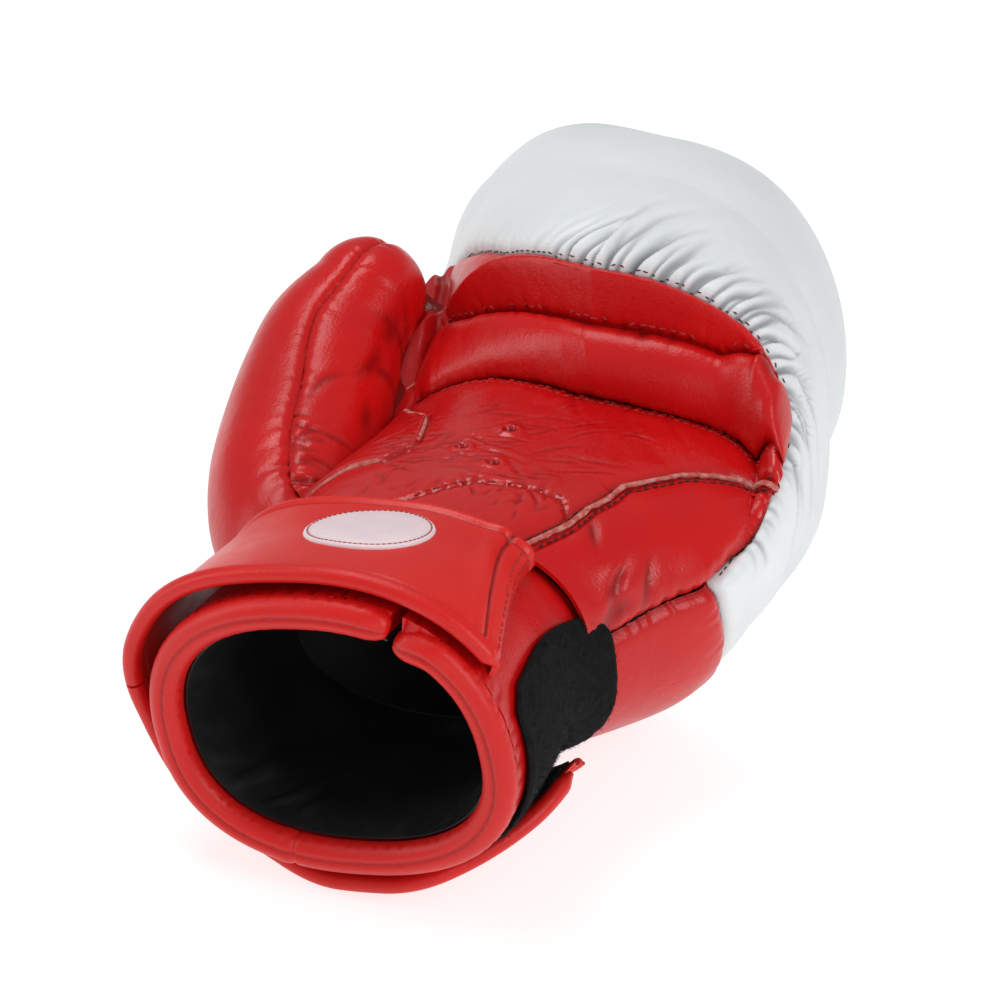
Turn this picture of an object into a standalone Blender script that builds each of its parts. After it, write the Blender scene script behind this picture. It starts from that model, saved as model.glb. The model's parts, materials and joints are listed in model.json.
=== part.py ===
"""Boxing glove for the left hand with a hook-and-loop wrist strap, lying on its back, palm up.

+X points to the little-finger side, -X to the thumb side, +Y to the fingers and +Z up, out of
the palm. The layout below is written in millimetres from the middle of the cuff's rim at floor
level. FRAME_SHIFT then moves everything so that the origin is under the middle of the glove,
on the floor.

The mitt and the cuff are one soft form, a loft of rounded sections along the glove. Every skin,
foam and patch is a sheet of that form between two depths, so the layers nest and never touch.
The thumb is a tapering tube of its own, and the strap is a band that follows the cuff.
"""

import math

import bmesh
import bpy
import numpy as np
from mathutils import Matrix, Vector

MM = 0.001

# Driving dimensions, in millimetres.
LEATHER = 1.6
GAP = 0.45
SEAM_GAP = 0.7
LINING = 1.0
LINING_INSET = 0.5
ROLL = math.radians(13.0)  # the wrist lies turned about the glove's long axis

CUFF_LENGTH = 62.0
CUFF_FOAM_DEPTH = 2.3
CUFF_FOAM = 6.0
CUFF_LINING_DEPTH = 9.2
LAYERS_START = 9.2
RIM_Y = 4.2
RIM_DEPTH = 4.6
RIM_RADIUS = 4.1
SLIT_ANGLE = 60.0
SLIT_HALF = 1.6
BINDING_SLIT_HALF = 7.0

FOAM_DEPTH = 3.0
PALM_FOAM_DEPTH = 3.8
FOAM_START = 67.0
FOAM_TURN = 188.0
STEP_START = 156.0  # the wall between the palm and the padded fingers
STEP_END = 161.0
TIP_START = 215.0
TIP_END = 282.0
POLE = (-2.0, 68.0)
FRAME_SHIFT = Vector((4.95, -140.75, 0.0))

# The outer form: distance along the glove, then the section's left and right ends, its widest
# height, its underside, its palm side and, past the finger step, the top of the padded fingers.
BODY = np.array(
    [
        (0, -49.8, 55.5, 50.0, 9.0, 95.0, 95.0),
        (30, -49.0, 53.5, 49.0, 9.0, 91.0, 91.0),
        (62, -48.5, 52.5, 46.0, 7.6, 84.0, 84.0),
        (80, -46.0, 62.0, 45.0, 4.0, 83.5, 84.0),
        (100, -43.0, 74.0, 45.0, 2.0, 81.5, 88.0),
        (130, -42.0, 83.0, 45.0, 0.2, 79.0, 100.0),
        (157, -45.0, 84.0, 45.0, -1.8, 78.0, 112.0),
        (180, -53.0, 78.5, 45.0, -2.0, 78.0, 118.0),
        (205, -61.0, 71.5, 47.0, 0.4, 78.0, 121.5),
        (215, -63.0, 67.5, 49.0, 2.6, 78.0, 121.0),
    ]
)

# The hand compartment's outer wall: distance, left, right, middle height, low and high.
POCKET = np.array(
    [
        (63, -38.5, 42.0, 46.0, 19.0, 73.5),
        (85, -26.5, 50.0, 45.0, 20.0, 69.5),
        (110, -22.5, 57.0, 45.0, 21.5, 66.0),
        (150, -24.0, 62.0, 45.0, 25.0, 65.0),
        (180, -25.0, 61.0, 48.0, 30.0, 66.0),
        (208, -22.0, 54.0, 53.0, 37.0, 69.0),
    ]
)
POCKET_TIP = 226.0
POCKET_POLE = (14.0, 54.0)

# The thumb's centre line with its radius.
THUMB = np.array(
    [
        (-38.0, 80.0, 49.0, 16.5),
        (-51.0, 89.0, 50.5, 20.5),
        (-60.0, 108.0, 54.0, 24.0),
        (-66.0, 132.0, 60.0, 25.5),
        (-70.0, 156.0, 71.0, 23.5),
        (-64.5, 174.0, 83.0, 17.5),
    ]
)
THUMB_HINGE = Vector((-44.0, 84.0, 49.5))
THUMB_CLEARANCE = 2.4
THUMB_SPLIT_ANGLE = 98.0
THUMB_FOAM_DEPTH = 2.3
THUMB_FOAM = 5.3
THUMB_LINING_DEPTH = 8.2
THUMB_PORT = (Vector((-4.0, 60.0, 47.0)), Vector((-57.0, 92.0, 50.8)))
THUMB_PORT_RADII = (16.0, 25.0)

STRAP_ROOT_ANGLE = 24.0
STRAP_HINGES = (128.0, 205.0, 268.0)
STRAP_TIP_ANGLE = 322.0
STRAP_NEAR = 9.4
STRAP_FAR = 60.0
STRAP_INNER = 3.8
STRAP_OUTER = 5.2
STRAP_JOINT_GAP = 0.5
STRAP_EDGE_RADIUS = 2.3
STRAP_EDGE_OFFSET = 3.1
BADGE_ANGLE = 84.0
BADGE_Y = 35.0
BADGE_HALF_ANGLE = 16.0
BADGE_HALF_WIDTH = 10.5
BADGE_SIDES = 24
HOOK_INNER = 2.3
HOOK_OUTER = 3.3
LOOP_INNER = 1.1
LOOP_OUTER = 2.0


def ramp(value, start, end):
    """Rises smoothly from 0 at start to 1 at end."""
    part = np.clip((value - start) / (end - start), 0.0, 1.0)
    return part * part * (3.0 - 2.0 * part)


def rows_at(table, where):
    """Reads a table of sections at any distance, on a smooth curve through its rows."""
    knots = table[:, 0]
    values = table[:, 1:]
    slopes = np.gradient(values, knots, axis=0)
    low = np.clip(np.searchsorted(knots, where) - 1, 0, len(knots) - 2)
    step = (knots[low + 1] - knots[low])[..., None]
    part = ((where - knots[low]) / step[..., 0])[..., None]
    square = part * part
    cube = square * part
    return (
        (2 * cube - 3 * square + 1) * values[low]
        + (cube - 2 * square + part) * step * slopes[low]
        + (3 * square - 2 * cube) * values[low + 1]
        + (cube - square) * step * slopes[low + 1]
    )


def rounded(angle, power):
    """The two coordinates of a superellipse of half-axes 1."""
    cosine = np.cos(angle)
    sine = np.sin(angle)
    return (
        np.sign(cosine) * np.abs(cosine) ** (2.0 / power),
        np.sign(sine) * np.abs(sine) ** (2.0 / power),
    )


def thumb_line(count):
    """Points and radii along the thumb's centre line."""
    knots = np.arange(len(THUMB), dtype=float)
    table = np.column_stack([knots, THUMB])
    rows = rows_at(table, np.linspace(0.0, len(THUMB) - 1.0, count))
    return rows[:, :3], rows[:, 3]


def clear_of_thumb(points, middle_x, middle_z):
    """Moves points that lie in the thumb's space inwards, until they are just clear of it."""
    centres, radii = thumb_line(40)
    used = centres[:, 1] > 98.0
    centres = centres[used]
    reach = radii[used] + THUMB_CLEARANCE
    inward = np.stack([middle_x - points[..., 0], 0 * middle_x, middle_z - points[..., 2]], -1)
    inward = inward / np.maximum(np.linalg.norm(inward, axis=-1, keepdims=True), 1e-9)
    for _ in range(14):
        away = np.linalg.norm(points[..., None, :] - centres, axis=-1) - reach
        inside = np.minimum(away.min(axis=-1), 0.0)
        points = points - inward * inside[..., None]
    return points


def lean(x):
    """How far the finger step runs ahead of, or behind, its middle."""
    ahead = np.minimum(0.36 * np.maximum(12.0 - x, 0.0), 22.0)
    behind = 31.0 * (np.clip(x - 45.0, 0.0, 42.0) / 40.0) ** 3
    return ahead - behind


def form(angle, where):
    """A point of the glove's outer surface, at an angle in degrees round the section."""
    angle, where = np.broadcast_arrays(np.asarray(angle, float), np.asarray(where, float))
    rows = rows_at(BODY, np.minimum(where, TIP_START))
    left, right, middle_z, low, palm, pad = np.moveaxis(rows, -1, 0)
    step = ramp(where, STEP_START, STEP_END)
    high = palm + (pad - palm) * step
    past = np.clip((where - TIP_START) / (TIP_END - TIP_START), 0.0, 1.0)
    size = np.sqrt(np.maximum(1.0 - past**2.5, 0.0))
    turn = np.radians(angle)
    flat_top = 2.25 + 0.65 * ramp(where, 55.0, 90.0) * (1.0 - step) + 0.35 * step
    across, up = rounded(turn, 2.3)
    up = np.where(up > 0, np.abs(up) ** (2.3 / flat_top), up)
    middle_x = (left + right) / 2.0
    x = across * (right - left) / 2.0
    z = np.where(up > 0, up * (high - middle_z), up * (middle_z - low))
    roll = ROLL * (1.0 - ramp(where, 28.0, 100.0))
    turned_x = middle_x + x * np.cos(roll) - z * np.sin(roll)
    turned_z = middle_z + x * np.sin(roll) + z * np.cos(roll)
    turned_x = POLE[0] + (turned_x - POLE[0]) * size
    turned_z = POLE[1] + (turned_z - POLE[1]) * size
    share = ramp(turned_z, 30.0, 66.0)
    share = share * ramp(where, 66.0, 128.0) * (1.0 - ramp(where, 172.0, 235.0))
    points = np.stack([turned_x, where + lean(turned_x) * share, turned_z], -1)
    points = clear_of_thumb(points, middle_x + 6.0, middle_z)
    points[..., 2] = np.maximum(points[..., 2], 0.0)
    return points


def sheet(angle, where, depth):
    """A point at a depth under the outer surface, measured along its normal."""
    point = form(angle, where)
    turn = form(np.asarray(angle) + 4.0, where) - form(np.asarray(angle) - 4.0, where)
    run = form(angle, np.minimum(where + 2.0, TIP_END)) - form(angle, where - 2.0)
    outward = np.cross(run, turn)
    size = np.linalg.norm(outward, axis=-1, keepdims=True)
    pole = np.array([0.0, 1.0, 0.0])
    outward = np.where(size > 1e-6, outward / np.maximum(size, 1e-9), pole)
    at_pole = np.broadcast_to(np.asarray(where) >= TIP_END - 1e-6, point.shape[:-1])
    outward = np.where(at_pole[..., None], pole, outward)
    depth = np.broadcast_to(np.asarray(depth, float), point.shape[:-1])
    moved = point - outward * depth[..., None]
    moved[..., 2] = np.maximum(moved[..., 2], np.maximum(depth, 0.0))
    return moved


def pocket(angle, where, depth):
    """A point of the hand compartment's wall, at a depth inside its outer face."""
    angle, where = np.broadcast_arrays(np.asarray(angle, float), np.asarray(where, float))
    last = POCKET[-1, 0]
    rows = rows_at(POCKET, np.minimum(where, last))
    left, right, middle_z, low, high = np.moveaxis(rows, -1, 0)
    past = np.clip((where - last) / (POCKET_TIP - last), 0.0, 1.0)
    size = np.sqrt(np.maximum(1.0 - past**2, 0.0))
    across, up = rounded(np.radians(angle), 2.3)
    half = (right - left) / 2.0 - depth
    x = across * half * size
    tall = np.where(up > 0, high - middle_z, middle_z - low) - depth
    z = up * tall * size
    roll = ROLL * (1.0 - ramp(where, 28.0, 100.0))
    middle_x = (left + right) / 2.0 + (POCKET_POLE[0] - (left + right) / 2.0) * (1 - size)
    middle_z = middle_z + (POCKET_POLE[1] - middle_z) * (1 - size)
    return np.stack(
        [
            middle_x + x * np.cos(roll) - z * np.sin(roll),
            where - depth * (past >= 1.0),
            middle_z + x * np.sin(roll) + z * np.cos(roll),
        ],
        -1,
    )


def clear_scene():
    for obj in list(bpy.data.objects):
        bpy.data.objects.remove(obj, do_unlink=True)
    for mesh in list(bpy.data.meshes):
        bpy.data.meshes.remove(mesh)


def make_collection(name, hidden=False):
    made = bpy.data.collections.new(name)
    bpy.context.scene.collection.children.link(made)
    made.hide_render = hidden
    return made


def make_material(name, colour, roughness):
    made = bpy.data.materials.new(name)
    made.use_nodes = True
    shader = made.node_tree.nodes["Principled BSDF"]
    shader.inputs["Base Color"].default_value = (*colour, 1.0)
    shader.inputs["Roughness"].default_value = roughness
    shader.inputs["Metallic"].default_value = 0.0
    made.diffuse_color = (*colour, 1.0)
    return made


def make_body(name, pivot):
    """An empty that carries one rigid body, standing on the body's joint axis."""
    empty = bpy.data.objects.new(name, None)
    GLOVE.objects.link(empty)
    empty.location = (pivot + FRAME_SHIFT) * MM
    empty["pivot"] = pivot
    return empty


def add_object(name, mesh, material, body):
    obj = bpy.data.objects.new(name, mesh)
    GLOVE.objects.link(obj)
    obj.parent = body
    mesh.materials.append(material)
    return obj


def add_solid(name, points, faces, material, body):
    """Makes one closed piece from points in millimetres of the layout."""
    pivot = Vector(body["pivot"])
    grown = bmesh.new()
    verts = [grown.verts.new((Vector(point) - pivot) * MM) for point in points]
    for face in faces:
        grown.faces.new([verts[i] for i in face])
    bmesh.ops.remove_doubles(grown, verts=grown.verts, dist=1e-6)
    bmesh.ops.triangulate(grown, faces=grown.faces)
    bmesh.ops.recalc_face_normals(grown, faces=grown.faces)
    mesh = bpy.data.meshes.new(name)
    grown.to_mesh(mesh)
    grown.free()
    mesh.shade_smooth()
    mesh.set_sharp_from_angle(angle=math.radians(40))
    return add_object(name, mesh, material, body)


def grid_faces(rows, columns, wrap, start=0):
    faces = []
    for row in range(rows - 1):
        for column in range(columns if wrap else columns - 1):
            after = (column + 1) % columns
            faces.append(
                (
                    start + row * columns + column,
                    start + row * columns + after,
                    start + (row + 1) * columns + after,
                    start + (row + 1) * columns + column,
                )
            )
    return faces


def walled(outer, inner, wrap=False, closed_end=False):
    """Closes two matching grids of points into one wall. A closed end runs to a pole."""
    rows, columns = outer.shape[:2]
    count = rows * columns
    faces = grid_faces(rows, columns, wrap) + grid_faces(rows, columns, wrap, count)
    ends = [0] if closed_end else [0, rows - 1]
    for row in ends:
        for column in range(columns if wrap else columns - 1):
            first = row * columns + column
            second = row * columns + (column + 1) % columns
            faces.append((first, second, count + second, count + first))
    if not wrap:
        for column in (0, columns - 1):
            for row in range(rows - 1):
                first = row * columns + column
                second = first + columns
                faces.append((first, second, count + second, count + first))
    points = np.concatenate([outer.reshape(-1, 3), inner.reshape(-1, 3)])
    return points, faces


def angles_between(start, end, step=11.25):
    """Angles from start to end, closer together on the thumb side."""
    found = [start]
    while found[-1] < end - 1e-6:
        here = found[-1] % 360.0
        width = step / 2.0 if 112.0 < here < 248.0 else step
        found.append(min(found[-1] + width, end))
    if len(found) > 2 and found[-1] - found[-2] < 2.0:
        found.pop(-2)
    return np.array(found)


def stretch(low, high, count):
    """A grid's distances, from low to high for each column, in count rows."""
    part = np.linspace(0.0, 1.0, count)[:, None]
    return low[None, :] + (high - low)[None, :] * part


def seam(points, angle):
    """Reads a seam, given as angle and distance pairs, at some angles."""
    table = np.array(points, float)
    return np.interp(angle, table[:, 0], table[:, 1])


def kept_back(line, angle, gap=SEAM_GAP):
    """A seam moved by the gap, square to the seam however steep it runs."""
    run = np.gradient(line, angle)
    reach = 52.0 * math.pi / 180.0
    return gap * np.sqrt(1.0 + (run / reach) ** 2)


def skin(name, angles, where, depth, thickness, material, body):
    """A panel of the outer form over a grid of distances, with its wall running inwards."""
    around = np.broadcast_to(angles[None, :], where.shape)
    outer = sheet(around, where, depth)
    inner = sheet(around, where, depth + thickness)
    points, faces = walled(outer, inner)
    return add_solid(name, points, faces, material, body)


# Seams of the mitt, as angle round the section and distance along the glove.
WHITE_SEAM = (
    (-200, 158), (-188, 150), (-170, 138), (-150, 133), (-30, 133), (-20, 128), (-10, 112),
    (-2, 107), (8, 110), (16, 130), (24, 152), (30, 161), (150, 161), (160, 158), (172, 150),
)  # fmt: skip
HEEL_LOW = ((4, 108), (38, 66), (60, 63))
HEEL_HIGH = ((4, 109), (12, 118), (20, 128), (28, 130), (38, 122), (46, 108), (54, 80), (57, 66))
HEEL_ANGLES = (6.0, 12.0, 18.0, 24.0, 28.0, 33.0, 38.0, 42.0, 46.0, 50.0, 54.0)
PALM_ANGLES = HEEL_ANGLES[3:] + (57.0, 68.0, 79.0, 90.0, 101.0, 112.0) + tuple(range(120, 177, 8))
THUMB_SEAM = ((148, 62), (160, 86), (176, 112))
FOAM_EDGE = (
    (-190, 164), (-187, 150), (-184, 124), (-165, 112), (-152, 104), (-143, 90), (-132, 67),
    (2, 67), (6, 110), (10, 150), (13, 172), (31, 172), (60, 166), (170, 166),
)  # fmt: skip


def make_knuckle_panel(root):
    """The white panel, cupped over the finger end from the palm seam to the back seam."""
    angles = np.sort(np.append(angles_between(-200.0, 160.0)[:-1], (30.0, 150.0)))
    line = seam(WHITE_SEAM, angles)
    low = line + kept_back(line, angles)
    turn = TIP_START - 22.0
    first = stretch(low, np.full(len(angles), turn), 6)
    turns = np.radians(np.array([15, 30, 44, 57, 69, 80, 90.0]))
    rest = turn + (TIP_END - turn) * np.sin(turns)
    where = np.concatenate([first, np.repeat(rest[:, None], len(angles), axis=1)])
    around = np.broadcast_to(angles[None, :], where.shape)
    outer = sheet(around, where, 0.0)
    inner = sheet(around, where, LEATHER)
    points, faces = walled(outer, inner, wrap=True, closed_end=True)
    add_solid("knuckle_panel", points, faces, WHITE_LEATHER, root)


def make_back_panel(root):
    """The red panel round the back of the hand, from the cuff to the white panel."""
    angles = angles_between(-182.0, 38.0)
    angles = angles[angles <= 36.0]
    line = np.where(angles < 4.0, seam(WHITE_SEAM, angles), seam(HEEL_LOW, angles))
    low = np.full(len(angles), CUFF_LENGTH + GAP)
    high = np.maximum(line - kept_back(line, angles), low + 1.5)
    where = stretch(low, high, 6)
    skin("back_panel", angles, where, 0.0, LEATHER, RED_LEATHER, root)


def make_heel_panel(root):
    """The bulging red panel over the heel of the hand."""
    angles = np.array(HEEL_ANGLES)
    line = seam(HEEL_LOW, angles)
    low = np.maximum(line + kept_back(line, angles), CUFF_LENGTH + 1.0)
    line = np.minimum(seam(HEEL_HIGH, angles), seam(WHITE_SEAM, angles) - 2.0)
    high = np.maximum(line - kept_back(line, angles), low + 1.5)
    where = stretch(low, high, 6)
    skin("heel_panel", angles, where, 0.0, LEATHER, RED_LEATHER, root)


def make_palm_panel(root):
    """The red palm, from the heel panel round to the thumb and up to the grip bar."""
    angles = np.array(PALM_ANGLES)
    line = seam(HEEL_HIGH, angles)
    at_cuff = angles > HEEL_HIGH[-1][0] - 0.1
    low = np.where(at_cuff, CUFF_LENGTH + GAP, line + kept_back(line, angles))
    low = np.maximum(low, seam(THUMB_SEAM, angles))
    high = np.minimum(seam(WHITE_SEAM, angles) - 2.2, STEP_START - 1.4)
    where = stretch(low, high, 7)
    skin("palm_panel", angles, where, 0.0, LEATHER, RED_LEATHER, root)


def make_finger_panel(root):
    """The steep red panel from the grip bar up to the white leather."""
    angles = angles_between(41.0, 141.0)
    steps = np.array([155.8, 157.0, 158.0, 159.0, 159.5, 159.9])
    where = np.repeat(steps[:, None], len(angles), axis=1)
    skin("finger_panel", angles, where, 0.0, LEATHER, RED_LEATHER, root)


def make_knuckle_foam(root):
    """The thick pad cupped round the fingers and the back of the hand."""
    corners = [corner[0] for corner in FOAM_EDGE[1:-1]]
    angles = np.sort(np.append(angles_between(-190.0, 170.0)[:-1], corners))
    angles = angles[np.concatenate([[True], np.diff(angles) > 0.9])]
    start = seam(FOAM_EDGE, angles)
    turns = np.sin(np.radians(np.array([15, 30, 45, 60, 75, 90.0])))[:, None]
    turns = np.repeat(turns, len(angles), axis=1)
    first = stretch(start, np.full(len(angles), FOAM_TURN), 6)
    where = np.concatenate([first, FOAM_TURN + (TIP_END - FOAM_TURN) * turns])
    around = np.broadcast_to(angles[None, :], where.shape)
    thumb_side = ramp(-around, 118.0, 150.0) * (1.0 - ramp(where, 180.0, 210.0))
    heel_side = ramp(around, -6.0, 10.0) * (1.0 - ramp(around, 36.0, 56.0))
    heel_side = heel_side * (1.0 - ramp(where, 168.0, 188.0))
    outer = sheet(around, where, FOAM_DEPTH + 3.0 * thumb_side + 3.4 * heel_side)
    set_back = 1.5 + 11.0 * ramp(outer[0, :, 0], 44.0, 62.0) * ramp(angles, 8.0, 28.0)
    start = np.clip(outer[0, :, 1] + set_back, FOAM_START, FOAM_TURN - 4.0)
    first = stretch(start, np.full(len(angles), FOAM_TURN), 6)
    where = np.concatenate([first, FOAM_TURN + (POCKET_TIP - FOAM_TURN) * turns])
    inner = pocket(around, where, -2.1)
    inner[-1, :, 1] = POCKET_TIP + 3.0
    points, faces = walled(outer, inner, wrap=True, closed_end=True)
    add_solid("knuckle_foam", points, faces, FOAM, root)


def make_palm_foam(root):
    """The thin pad under the palm."""
    angles = angles_between(38.0, 140.0)
    start = np.full(len(angles), FOAM_START)
    where = stretch(start, start + 86.0, 7)
    around = np.broadcast_to(angles[None, :], where.shape)
    outer = sheet(around, where, PALM_FOAM_DEPTH)
    inner = pocket(around, stretch(start, outer[-1, :, 1], 7), -0.9)
    points, faces = walled(outer, inner)
    add_solid("palm_foam", points, faces, FOAM, root)


def make_hand_lining(root):
    """The cloth of the hand compartment, closed at the finger end."""
    angles = np.arange(0.0, 360.0, 15.0)
    last = POCKET[-1, 0]
    turns = np.radians(np.array([0, 30, 60, 90.0]))
    tip = last + (POCKET_TIP - last) * np.sin(turns)
    where = np.concatenate([np.linspace(FOAM_START - 1.0, last - 18.0, 7), tip])
    around, along = np.meshgrid(angles, where)
    outer = pocket(around, along, LINING_INSET)
    inner = pocket(around, along, LINING_INSET + LINING)
    points, faces = walled(outer, inner, wrap=True, closed_end=True)
    add_solid("hand_lining", points, faces, LINING_CLOTH, root)


def cuff_layer(name, depth, thickness, material, root, start, end):
    """A layer of the cuff: a tube slit along the palm side."""
    angles = angles_between(SLIT_ANGLE + SLIT_HALF, SLIT_ANGLE + 360.0 - SLIT_HALF)
    where = stretch(np.full(len(angles), start), np.full(len(angles), end), 4)
    skin(name, angles, where, depth, thickness, material, root)


def make_cuff(root):
    """Leather, foam and lining round the wrist, and the rolled binding on their rim."""
    start = LAYERS_START
    end = CUFF_LENGTH
    cuff_layer("cuff_leather", 0.0, LEATHER, RED_LEATHER, root, start, end - GAP)
    cuff_layer("cuff_foam", CUFF_FOAM_DEPTH, CUFF_FOAM, FOAM, root, start, end)
    cuff_layer("cuff_lining", CUFF_LINING_DEPTH, LINING, LINING_CLOTH, root, start, end)
    first = SLIT_ANGLE + BINDING_SLIT_HALF
    angles = np.linspace(first, first + 360.0 - 2.0 * BINDING_SLIT_HALF, 41)
    path = sheet(angles, np.full(len(angles), RIM_Y), RIM_DEPTH)
    add_tube("cuff_binding", path, RIM_RADIUS, RED_BINDING, root)


def add_tube(name, path, radius, material, body):
    """A cord of leather with filled caps along a line of points."""
    pivot = Vector(body["pivot"])
    curve = bpy.data.curves.new(name, "CURVE")
    curve.dimensions = "3D"
    curve.bevel_depth = radius * MM
    curve.bevel_resolution = 2
    curve.use_fill_caps = True
    spline = curve.splines.new("POLY")
    spline.points.add(len(path) - 1)
    for knot, point in zip(spline.points, path):
        knot.co = (*((Vector(point) - pivot) * MM), 1.0)
    return add_object(name, curve, material, body)


def make_loop_patch(root):
    """The black loop panel on the little-finger side, from the cuff on to the mitt."""
    angles = np.array([-72.0, -60.0, -48.0, -36.0, -24.0, -12.0, 0.0, 10.0, 18.0])
    low = seam(((-72, 12), (-60, 9.4), (10, 9.4), (18, 40)), angles)
    high = seam(((-72, 66), (-60, 72), (-40, 77), (-10, 77), (5, 70), (18, 60)), angles)
    where = stretch(low, high, 6)
    thickness = LOOP_OUTER - LOOP_INNER
    skin("loop_patch", angles, where, -LOOP_OUTER, thickness, LOOP_CLOTH, root)


def standoff(angle):
    """Extra distance between the strap and the cuff, where the strap bows out or lifts off."""
    bow = 2.6 * ramp(angle, 92.0, 135.0) * (1.0 - ramp(angle, 150.0, 200.0))
    lift = 6.0 * ramp(angle, 288.0, 322.0)
    return bow + lift


def strap_point(angle, where, outward):
    """A point of the strap, at a distance outside the cuff."""
    base = sheet(angle, where, 0.0)
    further = sheet(angle, where, -4.0)
    direction = (further - base) / np.linalg.norm(further - base, axis=-1, keepdims=True)
    distance = (outward + standoff(np.asarray(angle)))[..., None]
    return base + direction * distance


def strap_end(angles):
    """The strap's near edge, cut away in a round towards its free tip."""
    past = np.clip((angles - 272.0) / (STRAP_TIP_ANGLE - 272.0), 0.0, 1.0)
    return STRAP_NEAR + 44.0 * past**1.9


def make_strap_part(name, start, end, body, has_hook):
    """One length of the strap, with its rolled near edge and any hook cloth on its inside."""
    count = max(4, round((end - start) / 11.0) + 1)
    angles = np.linspace(start + STRAP_JOINT_GAP, end - STRAP_JOINT_GAP, count)
    low = strap_end(angles)
    where = stretch(low, np.full(count, STRAP_FAR), 4)
    around = np.broadcast_to(angles[None, :], where.shape)
    outer = strap_point(around, where, np.full(where.shape, STRAP_OUTER))
    inner = strap_point(around, where, np.full(where.shape, STRAP_INNER))
    points, faces = walled(outer, inner)
    add_solid(name, points, faces, RED_LEATHER, body)
    edge = low - kept_back(low, angles, STRAP_EDGE_OFFSET)
    path = strap_point(angles, edge, np.full(count, STRAP_OUTER - 0.1))
    add_tube(name + "_binding", path, STRAP_EDGE_RADIUS, RED_BINDING, body)
    if not has_hook:
        return
    low = np.minimum(low + 3.0, STRAP_FAR - 12.0)
    where = stretch(low, np.full(count, STRAP_FAR - 4.0), 3)
    around = np.broadcast_to(angles[None, :], where.shape)
    outer = strap_point(around, where, np.full(where.shape, HOOK_OUTER))
    inner = strap_point(around, where, np.full(where.shape, HOOK_INNER))
    points, faces = walled(outer, inner)
    add_solid(name + "_hook", points, faces, HOOK_CLOTH, body)


def strap_pivot(angle):
    """The hinge point on the outside of the rolled edge, so that the outer faces part freely."""
    outward = np.array([STRAP_OUTER + 2.2])
    return Vector(strap_point(np.array([angle]), np.array([STRAP_NEAR]), outward)[0])


def make_strap(root):
    """The strap: sewn down at its root, then three lengths that peel off one after another."""
    first, second, third = STRAP_HINGES
    side = make_body("strap_side_pivot", strap_pivot(first))
    back = make_body("strap_back_pivot", strap_pivot(second))
    tip = make_body("strap_tip_pivot", strap_pivot(third))
    make_strap_part("strap_palm", STRAP_ROOT_ANGLE, first, root, has_hook=False)
    make_strap_part("strap_side", first, second, side, has_hook=False)
    make_strap_part("strap_back", second, third, back, has_hook=True)
    make_strap_part("strap_tip", third, STRAP_TIP_ANGLE, tip, has_hook=True)


def make_badge(root):
    """A blank oval patch on the strap, over the palm side of the wrist."""
    turns = np.linspace(0.0, 2.0 * math.pi, BADGE_SIDES, endpoint=False)
    around = np.append(BADGE_ANGLE + BADGE_HALF_ANGLE * np.cos(turns), BADGE_ANGLE)
    where = np.append(BADGE_Y + BADGE_HALF_WIDTH * np.sin(turns), BADGE_Y)
    count = BADGE_SIDES + 1
    low = strap_point(around, where, np.full(count, STRAP_OUTER + 0.4))
    high = strap_point(around, where, np.full(count, STRAP_OUTER + 1.1))
    faces = []
    for i in range(BADGE_SIDES):
        j = (i + 1) % BADGE_SIDES
        faces.append((i, j, count + j, count + i))
        faces.append((BADGE_SIDES, j, i))
        faces.append((count + BADGE_SIDES, count + i, count + j))
    add_solid("badge", np.concatenate([low, high]), faces, BADGE_LEATHER, root)


def thumb_grid(angles, depth):
    """Rings along the thumb at a depth under its surface, closing in a round tip."""
    centres, radii = thumb_line(9)
    tangents = np.gradient(centres, axis=0)
    tangents /= np.linalg.norm(tangents, axis=1, keepdims=True)
    side = np.array([1.0, 0.0, 0.0])
    rings = []
    turn = np.radians(angles)
    for centre, radius, tangent in zip(centres, radii, tangents):
        across = side - tangent * (side @ tangent)
        across /= np.linalg.norm(across)
        up = np.cross(across, tangent)
        ring = np.outer(np.cos(turn), across) + np.outer(np.sin(turn), up)
        rings.append(centre + ring * (radius - depth))
    radius = radii[-1] - depth
    for end in np.radians((25.0, 50.0, 72.0, 90.0)):
        ahead = centres[-1] + tangents[-1] * radius * math.sin(end)
        rings.append(ahead + ring * radius * math.cos(end))
    return np.array(rings)


def make_thumb():
    """The thumb: two leather panels over a foam sleeve and a cloth lining."""
    body = make_body("thumb_pivot", THUMB_HINGE)
    half = np.linspace(0.0, 180.0, 10)
    split = THUMB_SPLIT_ANGLE
    apart = np.array([GAP / 2.0, 0.0, 0.0])
    for name, start, push in (
        ("thumb_outer_panel", split, -apart),
        ("thumb_inner_panel", split - 180.0, apart),
    ):
        outer = thumb_grid(half + start, 0.0) + push
        inner = thumb_grid(half + start, LEATHER) + push
        points, faces = walled(outer, inner)
        add_solid(name, points, faces, RED_LEATHER, body)
    around = np.arange(0.0, 360.0, 20.0)
    for name, depth, thickness, material in (
        ("thumb_foam", THUMB_FOAM_DEPTH, THUMB_FOAM, FOAM),
        ("thumb_lining", THUMB_LINING_DEPTH, LINING, LINING_CLOTH),
    ):
        outer = thumb_grid(around, depth)
        inner = thumb_grid(around, depth + thickness)
        points, faces = walled(outer, inner, wrap=True, closed_end=True)
        add_solid(name, points, faces, material, body)


def make_grip_bar(root):
    """The padded roll across the palm under the fingers: a foam core in a leather sleeve."""
    x = np.linspace(-22.0, 70.0, 13)
    path = np.stack([x, STEP_START - 8.6 + lean(x), 87.0 - 0.0012 * (x - 20.0) ** 2], -1)
    sleeve = add_tube("grip_bar_sleeve", path, 6.6, RED_LEATHER, root)
    sleeve.data.use_fill_caps = False
    wall = sleeve.modifiers.new("wall", "SOLIDIFY")
    wall.thickness = 1.4 * MM
    wall.offset = -1.0
    add_tube("grip_bar_core", path, 4.6, FOAM, root)


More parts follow.
